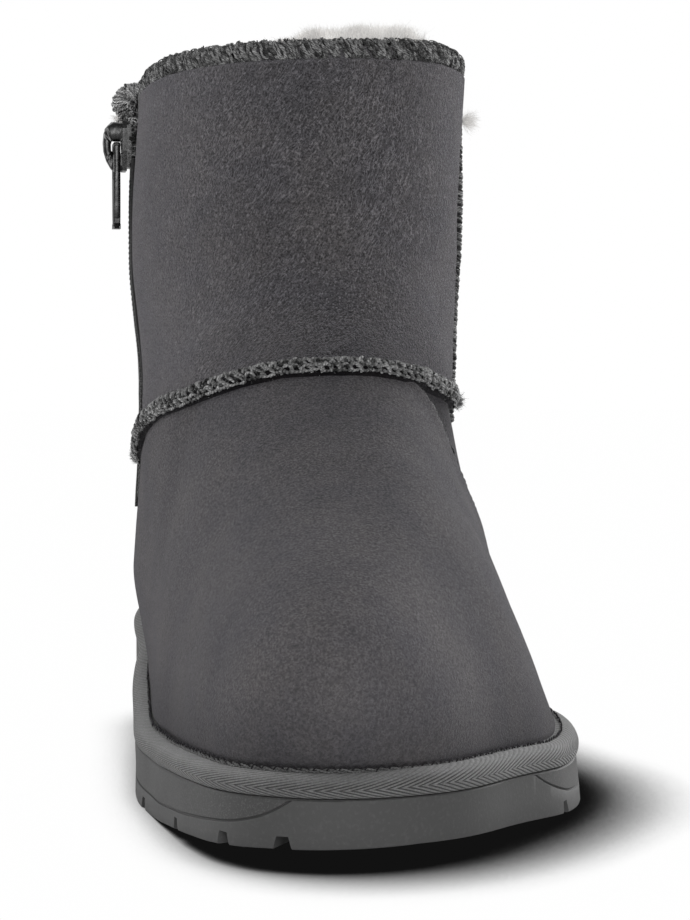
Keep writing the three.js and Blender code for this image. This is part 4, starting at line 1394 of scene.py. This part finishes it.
guard("zip_guard_rear", ZIP_REAR - 0.5, 0.3, 0.75, 176)
guard("zip_guard_front", ZIP_FRONT + 0.4, -0.3, 0.6, 168)


# %% [markdown]
# ## Corner over the zip
# Above the slider nothing holds the quarter to the shaft, so the bound collar's end springs out as a
# round corner. Its whipped yarn fans out from the middle of the corner, and loose curls and tufts hang
# where the yarn is cut.

# %% Yarn at the open corner
CORNER = np.array([-44.9, 23.2, 184.8])
CORNER_REACH = {"angle": (60, 100, 140, 180, 215, 250), "reach": (5.8, 5.8, 6.0, 6.5, 6.2, 5.6)}
FAN_STRANDS, CURLS, REAR_CURLS = 60, 170, 90


def corner_shell(angle, share, swell=0.0):
    """Points of the collar's round end: out from a centre at an angle, over the front and turned back."""
    reach = np.interp(angle, CORNER_REACH["angle"], CORNER_REACH["reach"]) + swell
    along, over = np.sin(np.pi / 2 * share), np.cos(np.pi / 2 * share)
    way = np.radians(angle)
    x, z = reach * along * np.cos(way), reach * along * np.sin(way)
    return CORNER + np.stack([x, -(2.2 + swell) * over, z], -1)


angle, share = np.meshgrid(np.linspace(62, 250, 40), np.linspace(0.0, 1.4, 14))
# The base's darker suede is painted shade under the fanned yarn.
new_piece("corner_base", corner_shell(angle, share, -0.35), grid_faces(14, 40), seam_shade_suede, "suede")
angle = np.repeat(np.linspace(66, 246, FAN_STRANDS // 2), 2)[:, None]
angle = angle + rng.normal(0, 2.2, (FAN_STRANDS, 1))
share = np.linspace(0.12, 1.35, 14)[None]
waver = 3.0 * np.sin(share * 9 + rng.uniform(0, 6, (FAN_STRANDS, 1)))
fan = corner_shell(angle + waver, share + 0 * angle, 0.15) + rng.normal(0, 0.12, (FAN_STRANDS, 1, 3))
yarn("corner_fan", fan, 0.29, corner_yarn)
curls = np.linspace(0, 2 * np.pi, 11)[None] * rng.uniform(0.7, 1.2, (CURLS, 1))
curls = curls + rng.uniform(0, 6, (CURLS, 1))
size = rng.uniform(0.5, 1.0, (CURLS, 1))
at = np.stack([rng.uniform(*span, CURLS) for span in ((-50, -44.5), (22.6, 25.0), (172, 181.5))], -1)
at[:, 0] = np.maximum(at[:, 0], -50.2 + np.abs(at[:, 2] - 178) * 0.45)
at[REAR_CURLS:] = rng.uniform((-46.9, 14.6, 166), (-45.5, 21.5, 185), (CURLS - REAR_CURLS, 3))
curl_lines = at[:, None] + np.stack([size * np.cos(curls), 0.25 * curls - 0.8, size * np.sin(curls)], -1)
yarn("corner_curls", curl_lines, 0.27, corner_yarn, sides=5, dark=0.2)
for number, root in enumerate(((-50.2, 23.5, 180.5), (-48.5, 22.5, 177.0), (-46.2, 22.5, 186.0))):
    tuft(f"corner_tuft_{number}", root, (-0.5, -0.6, -0.2), 160, 1.9, (0.06, 0.12), 0.9, wool)


# %% Slider's bridge and the pull's rim
PLATE_POINTS = 120


def ring_plate(name, outer, hole, half, edge, place, body):
    """A plate with one hole and rounded edges, from two outlines in its own plane."""
    outer, hole = np.array(outer, float), np.array(hole, float)
    middle = hole.mean(0)
    angles = np.linspace(0, 2 * np.pi, PLATE_POINTS, endpoint=False)

    def outline(shape):
        p = np.vstack([shape, shape[:1]]) - middle
        reach = []
        for a in angles:
            way = np.array([np.cos(a), np.sin(a)])
            cross = p[:, 0] * way[1] - p[:, 1] * way[0]
            hits = np.flatnonzero((cross[:-1] <= 0) & (cross[1:] > 0) | (cross[:-1] > 0) & (cross[1:] <= 0))
            t = cross[hits] / (cross[hits] - cross[hits + 1])
            far = ((p[hits] + (p[hits + 1] - p[hits]) * t[:, None]) @ way).max()
            reach.append(way * far)
        return np.array(reach)

    big, small = outline(outer), outline(hole)
    step = edge / np.maximum(np.linalg.norm(big - small, axis=1, keepdims=True), 1e-6)
    in_big, in_small = mix(big, small, step), mix(small, big, step)
    rings = [(big, -half + edge), (big, half - edge), (in_big, half), (in_small, half)]
    rings += [(small, half - edge), (small, edge - half), (in_small, -half), (in_big, -half)]
    points = np.array([place(ring + middle, depth) for ring, depth in rings])
    faces = grid_faces(8, PLATE_POINTS, True, True)
    piece = new_piece(name, points, faces, black_metal, "zip_metal", body=body)
    piece.data.set_sharp_from_angle(angle=math.radians(50))
    return piece


SLIDER_FACE, SLIDER_Z, PULL_OUT = -49.3, 171.7, 1.6
blade = [
    (0.4, 6.9), (-2.4, 7.1), (-4.1, 6.1), (-5.2, 4.0), (-5.5, 1.2), (-5.3, -1.4), (-4.5, -4.2), (-3.1, -6.6),
    (-1.9, -7.5),
    (0.4, -7.2),
]
eye = [(-0.15, 1.5), (-2.9, 1.6), (-3.2, 0.5), (-3.15, -1.2), (-2.6, -1.9), (-0.15, -2.0)]


def on_bridge(flat, depth):
    y = np.full(len(flat), ZIP_Y + depth)
    return np.stack([SLIDER_FACE + flat[:, 0], y, SLIDER_Z + flat[:, 1]], -1)


def on_pull(flat, depth):
    x = np.full(len(flat), SLIDER_FACE - PULL_OUT + depth)
    return np.stack([x, ZIP_Y + flat[:, 0], SLIDER_Z + flat[:, 1]], -1)


ring_plate("slider_hood", blade, eye, 1.35, 0.35, on_bridge, "boot")
tab = [(3.0, 1.1), (-3.0, 1.1), (-3.85, 0.3), (-3.85, -12), (-3.2, -22.4), (-2.0, -23.4), (2.0, -23.4),
    (3.2, -22.4), (3.85, -12),
       (3.85, 0.3)]
window = [(1.85, -0.75), (-1.85, -0.75), (-1.85, -9.5), (1.85, -9.5)]
ring_plate("pull_rim", tab, window, 0.98, 0.3, on_pull, "pull")

# %% [markdown]
# ## Platform
# The platform's edge is wrapped in herringbone tape, about as wide as the platform is high. Its big ribs
# and the fine threads across them are left to the material. The tape tucks in under the upper, where a
# twisted thread hides the joint.

# %% Platform tape
TAPE_EDGE = {
    "share": (0, 0.06, 0.12, 0.25, 0.4, 0.58, 0.75, 0.88, 0.96, 1),
    "out": (0.6, 0.86, 0.92, 0.99, 1.0, 0.93, 0.76, 0.5, 0.2, -0.2),
    "up": (-0.03, 0, 0.06, 0.24, 0.44, 0.66, 0.84, 0.95, 1.0, 1.02),
}
SPINE, WEAVE_WIDTH = 0.36, 8.2


def tape_grid():
    """The tape's points and its uvs, with a whole number of ribs round the boot."""
    share, turn = shares(26, 900)
    out = PLATFORM_OVERHANG * read(TAPE_EDGE, "out", share)
    thick = PLATFORM_THICKNESS + 0.9 * smooth(0.49, 0.56, turn) * smooth(0.76, 0.68, turn)
    edge = outline_point(turn + 0 * share, out + 0 * turn)
    foot = outline_point(turn, np.full_like(turn, OUTSOLE_OVERHANG))
    z = seam_at(foot[..., 0], foot[..., 1]) + GAP + thick * read(TAPE_EDGE, "up", share)
    points = np.concatenate([edge, z[..., None]], -1)
    length = np.concatenate([[0], np.linalg.norm(np.diff(foot[0], axis=0), axis=1).cumsum()])
    ribs = round(length[-1] / RIB)
    along = length * (ribs * RIB / length[-1])
    across = (share - SPINE) * WEAVE_WIDTH
    uv = np.stack(np.broadcast_arrays(along[None], across), -1)
    return points, uv


points, uv = tape_grid()
tape = new_piece("platform_tape", points, grid_faces(*points.shape[:2]), platform_tape, "platform_tape",
    uv=uv)
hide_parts("platform")


# %% The thread in the joint
def joint_path(out, up):
    """A path round the boot in the angle between the upper and the tape."""
    turn = np.linspace(0, 1, 700)
    p = outline_point(turn, np.full_like(turn, out))
    z = feather_at(p[:, 0], p[:, 1]) + up
    points = np.concatenate([p, z[:, None]], 1)
    run = unit(np.gradient(points, axis=0))
    normals = unit(np.stack([run[:, 1], -run[:, 0], 0.4 + 0 * turn], -1))
    return (points, *path_frames(points, normals))


TWIST_LENGTH = 5.74
joint = joint_path(0.55, 0.1)
length = joint[4][-1]
twists = round(length / TWIST_LENGTH)
s = np.linspace(0, length, twists * 14)
phase = 2 * np.pi * s / length * twists
turned = phase + np.array([[0], [np.pi]])
plies = on_path(joint, s + 0 * turned, 0, 0.3 * np.cos(turned) + 0.25, 0.24 * np.sin(turned) + 0.1)
yarn("joint_thread", plies, 0.25, junction_yarn, sides=6)
loops = np.arange(0.0, length - 3, 2.8)
hops = sewn(joint, loops, [(-0.6, 0.0, 0.1), (0.1, 0.85, 0.55), (1.1, 0.95, 0.5), (1.8, 0.2, 0.15)], 7, 0.12)
# The loops' darker suede is painted shade in the joint.
yarn("joint_loops", hops, 0.2, seam_shade_suede, sides=5)

# %% [markdown]
# ## Outsole
# The outsole is one moulding: a wall that flares a little towards the ground, notches cut in from the
# wall, a channel round the tread and grooves between its bars. A thin moulded line parts the smooth toe
# bumper and the lower band from the speckled wall above. The line is part of the wall's own mesh, the
# cuts are booleans.

# %% Outsole body
NOTCH = {"pitch": 24, "width": 4.2, "height": 2.8, "reach": 13}
NOTCHED = (
    {"start": 0.4692, "end": 0.07, "first_gaps": (13.1, 27.4, 39.4)},
    {"start": 0.6452, "end": 0.93, "first_gaps": ()},
)
CHANNEL = {"outer": -7.5, "inner": -11, "depth": 2.6}
BAR_PITCH, BAR_GROOVE = 15, 4
MOULD_LINE = {
    "turn": (0, 0.2, 0.31, 0.336, 0.366, 0.394, 0.42, 0.437, 0.454, 0.464, 0.476),
    "height": (4.6, 4.5, 4.7, 4.9, 6.4, 7.9, 9.2, 10.0, 11.6, 13.3, 16.4),
}
MOULD_LINE_OUTER = {
    "turn": (0.624, 0.6325, 0.64, 0.649, 0.66, 0.675, 0.72, 1.0),
    "height": (13.4, 10.3, 8.3, 6.5, 5.4, 4.6, 4.6, 4.6),
}
LINE_DEPTH, LINE_HALF = 0.55, 0.3


def mould_line(turn):
    """The line's height, and its depth, which is nothing on the toe bumper."""
    bumper_from, bumper_to = MOULD_LINE["turn"][-1], MOULD_LINE_OUTER["turn"][0]
    inner = read(MOULD_LINE, "height", turn)
    outer = read(MOULD_LINE_OUTER, "height", turn)
    bumper = (turn > bumper_from) & (turn < bumper_to)
    return np.where(turn < 0.55, inner, outer), np.where(bumper, 0.0, LINE_DEPTH)


def wall_rows(columns):
    """Rings of points up the outsole's wall, with the moulded line sunk into it."""
    turn = np.linspace(0, 1, columns, endpoint=False)
    foot = outline_point(turn, np.full(columns, float(OUTSOLE_OVERHANG)))
    ground = ground_at(foot[:, 1])
    top = seam_at(foot[:, 0], foot[:, 1])
    flare = OUTSOLE_FLARE * np.abs(np.sin(2 * np.pi * turn)) * (turn > 0.5)
    flare = (flare + 0.9 * np.exp(-(((turn - 0.312) / 0.03) ** 2))
             + 0.7 * np.exp(-(((turn - 0.645) / 0.025) ** 2)))
    line, depth = mould_line(turn)
    line = np.minimum(line, top + 3)
    rows = [(-0.55, ground, 0.0), (-0.16, ground + 0.16, 0.0), (0.0, ground + 0.55, 0.0)]
    rows.append((0.0, mix(ground + 0.55, line - LINE_HALF * 1.4, 0.5), 0.0))
    for gap, share in ((-1.4, 0.0), (-1.0, 0.12), (-0.6, 0.75), (0.0, 1.0), (0.6, 0.75), (1.0, 0.12),
        (1.4, 0.0)):
        rows.append((0.0, line + gap * LINE_HALF, share))
    rows += [(0.0, mix(line, top, 0.5), 0.0), (0.0, top - 0.35, 0.0), (-0.3, top, 0.0)]
    points = []
    for k, (out, height, share) in enumerate(rows):
        edge = 0.3 - 0.02 * (len(rows) - k) if k < len(rows) - 1 else 0
        height = np.clip(height, ground + 0.02 * k, top - edge)
        level = (height - ground) / (top - ground)
        p = outline_point(turn, OUTSOLE_OVERHANG + flare * (1 - level) + out - share * depth)
        points.append(np.concatenate([p, height[:, None]], 1))
    points = np.array(points)
    shade = np.zeros(points.shape[:2])
    shade[9:] = depth > 0
    return points, shade


def triangles(quads):
    """Quads as triangles, without those that close up on themselves."""
    three = np.concatenate([quads[:, [0, 1, 2]], quads[:, [0, 2, 3]]])
    twice = (three[:, 0] == three[:, 1]) | (three[:, 1] == three[:, 2]) | (three[:, 2] == three[:, 0])
    return three[~twice]


def rungs(columns):
    """Quads that span a ring from each place on one side to the same place on the other."""
    i = np.arange(columns // 2)
    return np.stack([i, i + 1, (columns - i - 1) % columns, (columns - i) % columns], -1)


def face_outwards(mesh):
    """Turns every face of a closed mesh the same way, as the boolean needs."""
    shape = bmesh.new()
    shape.from_mesh(mesh)
    bmesh.ops.recalc_face_normals(shape, faces=shape.faces)
    shape.to_mesh(mesh)
    shape.free()


def cutter(points, faces):
    """A closed mesh to cut with, which isn't a piece of the boot."""
    mesh = bpy.data.meshes.new("cutter")
    mesh.from_pydata((np.asarray(points) * MM).tolist(), [], [list(map(int, face)) for face in faces])
    face_outwards(mesh)
    made = bpy.data.objects.new("cutter", mesh)
    bpy.context.scene.collection.objects.link(made)
    return made


def cut(piece, tool):
    """Subtracts a cutter for good, and takes the cutter away."""
    step = piece.modifiers.new("cut", "BOOLEAN")
    step.operation, step.solver, step.object = "DIFFERENCE", "MANIFOLD", tool
    shape = bpy.data.meshes.new_from_object(piece.evaluated_get(bpy.context.evaluated_depsgraph_get()))
    piece.modifiers.clear()
    piece.data = shape
    bpy.data.objects.remove(tool)


def channel_cutter(columns=360):
    turn = np.linspace(0, 1, columns, endpoint=False)
    rings = []
    for offset, up in (("outer", False), ("outer", True), ("inner", True), ("inner", False)):
        p = outline_point(turn, np.full(columns, float(CHANNEL[offset])))
        z = ground_at(p[:, 1]) + CHANNEL["depth"] if up else np.full(columns, -4.0)
        rings.append(np.concatenate([p, z[:, None]], 1))
    return cutter(np.concatenate(rings), grid_faces(4, columns, True, True))


def bars_cutter():
    edge = outline_point(np.linspace(0, 0.5, 300), np.full(300, -9.0))
    other = outline_point(np.linspace(1, 0.5, 300), np.full(300, -9.0))
    points, faces = [], []
    for y in np.arange(FOOT_BACK - 18, FOOT_BACK - FOOT_LENGTH + 15, -BAR_PITCH):
        faces.append(BOX_FACES + 8 * len(faces))
        left = np.interp(-y, -edge[:, 1], edge[:, 0])
        right = np.interp(-y, -other[:, 1], other[:, 0])
        top = ground_at(y) + CHANNEL["depth"]
        for x in (left, right):
            for across in (y - BAR_GROOVE / 2, y + BAR_GROOVE / 2):
                points += [(x, across, -4.0), (x, across, top)]
    return cutter(points, np.concatenate(faces))


def notch_places(start, end, first_gaps):
    """The turns of the notches along a side: the first ones at their own gaps, and the rest at the pitch."""
    turn = np.linspace(start, end, 4000)
    p = outline_point(turn, np.zeros_like(turn))
    walked = np.concatenate([[0], np.linalg.norm(np.diff(p, axis=0), axis=1).cumsum()])
    first = np.cumsum([0, *first_gaps])
    rest = np.arange(first[-1] + NOTCH["pitch"], walked[-1], NOTCH["pitch"])
    return np.interp(np.concatenate([first, rest]), walked, turn)


def notches_cutter():
    half, top = NOTCH["width"] / 2, NOTCH["height"]
    section = [(-half - 0.5, -5), (half + 0.5, -5), (half, 0), (half * 0.62, top), (-half * 0.62, top),
               (-half, 0)]
    points, faces = [], []
    for side in NOTCHED:
        for turn in notch_places(**side):
            wall = outline_point(turn, OUTSOLE_OVERHANG + 3)
            inside = outline_point(turn, OUTSOLE_OVERHANG - NOTCH["reach"])
            across = unit(np.array([wall[1] - inside[1], inside[0] - wall[0]]))
            start = len(points)
            for place in (inside, wall):
                for b, up in section:
                    points.append((*(place + across * b), ground_at(wall[1]) + up))
            sides = [[start + k, start + (k + 1) % 6, start + 6 + (k + 1) % 6, start + 6 + k]
                     for k in range(6)]
            ends = [[start + k for k in (0, 5, 4, 3, 2, 1)], [start + 6 + k for k in range(6)]]
            faces += sides + ends
    return cutter(points, faces)


SOLE_COLUMNS = 900
points, shade = wall_rows(SOLE_COLUMNS)
wall = grid_faces(len(points), SOLE_COLUMNS, round_columns=True)
under = rungs(SOLE_COLUMNS)
over = rungs(SOLE_COLUMNS)[:, ::-1] + (len(points) - 1) * SOLE_COLUMNS
faces = triangles(np.concatenate([wall, under, over]))
outsole = new_piece("outsole_moulding", points, faces, rubber, "sole_rubber", shade=shade)
face_outwards(outsole.data)
for tool in (channel_cutter(), bars_cutter(), notches_cutter()):
    cut(outsole, tool)
outsole.data.set_sharp_from_angle(angle=math.radians(28))
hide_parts("outsole")
size = [round(v / MM, 1) for v in outsole.dimensions]
print("outsole after its cuts:", len(outsole.data.polygons), "faces", size)

# %% [markdown]
# ## Camera, floor and light
# The camera stands low and a little to the boot's inner side, with a long lens, so that the shaft is
# seen almost square on and the toe cap slightly from above. The boot stands on a white floor that runs
# on to a white ground, under a wide overhead light, with a softer one to each side that draws pale rims
# down the shaft.

# %% Camera
camera_data = bpy.data.cameras.new("camera")
camera_data.sensor_width, camera_data.lens = 36, 89.1
camera_data.clip_start, camera_data.clip_end = 0.05, 50
camera = bpy.data.objects.new("camera", camera_data)
bpy.context.scene.collection.objects.link(camera)
camera.location = (-0.0953, -0.653, 0.105)
camera.rotation_euler = (math.radians(90 - 2.14), 0, math.radians(-9.5))
bpy.context.scene.camera = camera


# %% Floor
def floor_material():
    """A white table: evenly white where it is open, with a painted contact shadow where the boot closes over
    it.
    """
    material, tree, surface, where, _ = new_material("pale floor", 0.7, Specular_IOR_Level=0.1)
    tone = patches(tree, where, (222, 224, 220), (200.0, 2.0), 0.2)
    feed(surface.inputs["Base Color"], tone.outputs["Colour"])
    # Painted contact shadow: ambient occlusion round a tilted normal darkens the glow near the boot and
    # shifts it to one side.
    lean = calc(tree, "NORMALIZE", (-0.62, 0.22, 1.0), kind="VectorMath")
    contact_shadow_ao = add_node(tree, "AmbientOcclusion", Distance=0.036, Normal=lean, samples=24)
    open_share = spread(tree, contact_shadow_ao.outputs["AO"], 0.44, 0.9)
    glow = calc(tree, "MULTIPLY_ADD", calc(tree, "POWER", open_share, 2.0), 0.99, 0.006)
    table = add_node(tree, "Emission", Strength=glow)
    seen = tree.nodes.new("ShaderNodeLightPath")
    either = tree.nodes.new("ShaderNodeMixShader")
    tree.links.new(seen.outputs["Is Camera Ray"], either.inputs[0])
    tree.links.new(surface.outputs[0], either.inputs[1])
    tree.links.new(table.outputs[0], either.inputs[2])
    tree.links.new(either.outputs[0], tree.nodes["Material Output"].inputs["Surface"])
    return material


bpy.ops.mesh.primitive_plane_add(size=12)
floor = bpy.context.object
floor.name = "floor"
floor.data.materials.append(floor_material())


# %% Lights
def soft_light(name, location, size, power):
    """A round soft lamp that faces the boot."""
    data = bpy.data.lights.new(name, "AREA")
    data.shape, data.size, data.energy = "DISK", size, power
    lamp = bpy.data.objects.new(name, data)
    bpy.context.scene.collection.objects.link(lamp)
    lamp.location = location
    lamp.rotation_euler = (BOOT_MIDDLE - Vector(location)).to_track_quat("-Z", "Y").to_euler()


BOOT_MIDDLE = Vector((0, -0.05, 0.09))
soft_light("overhead", (0.0, 0.3, 1.6), 1.4, 4)
soft_light("left_side", (-1.3, 0.6, 0.5), 1.0, 12)
soft_light("right_side", (1.2, 0.85, 0.7), 1.0, 18)
soft_light("front_fill", (-0.05, -2.0, 0.5), 1.2, 16)

world = bpy.data.worlds.new("white ground")
bpy.context.scene.world = world
world.use_nodes = True
tree = world.node_tree
ground = tree.nodes["Background"]
ground.inputs["Color"].default_value = (1, 1, 1, 1)
seen = tree.nodes.new("ShaderNodeLightPath")
tree.links.new(spread(tree, seen.outputs["Is Camera Ray"], 0.0, 1.0, 0.3, 1.0), ground.inputs["Strength"])
bpy.context.scene.view_settings.view_transform = "Standard"
bpy.context.scene.view_settings.look = "None"

# %% Close
pieces = [piece for piece in bpy.context.scene.objects if piece.type == "MESH"]
total = sum(sum(len(p.vertices) - 2 for p in piece.data.polygons) for piece in pieces)
print("pieces:", len(pieces), "triangles:", total)
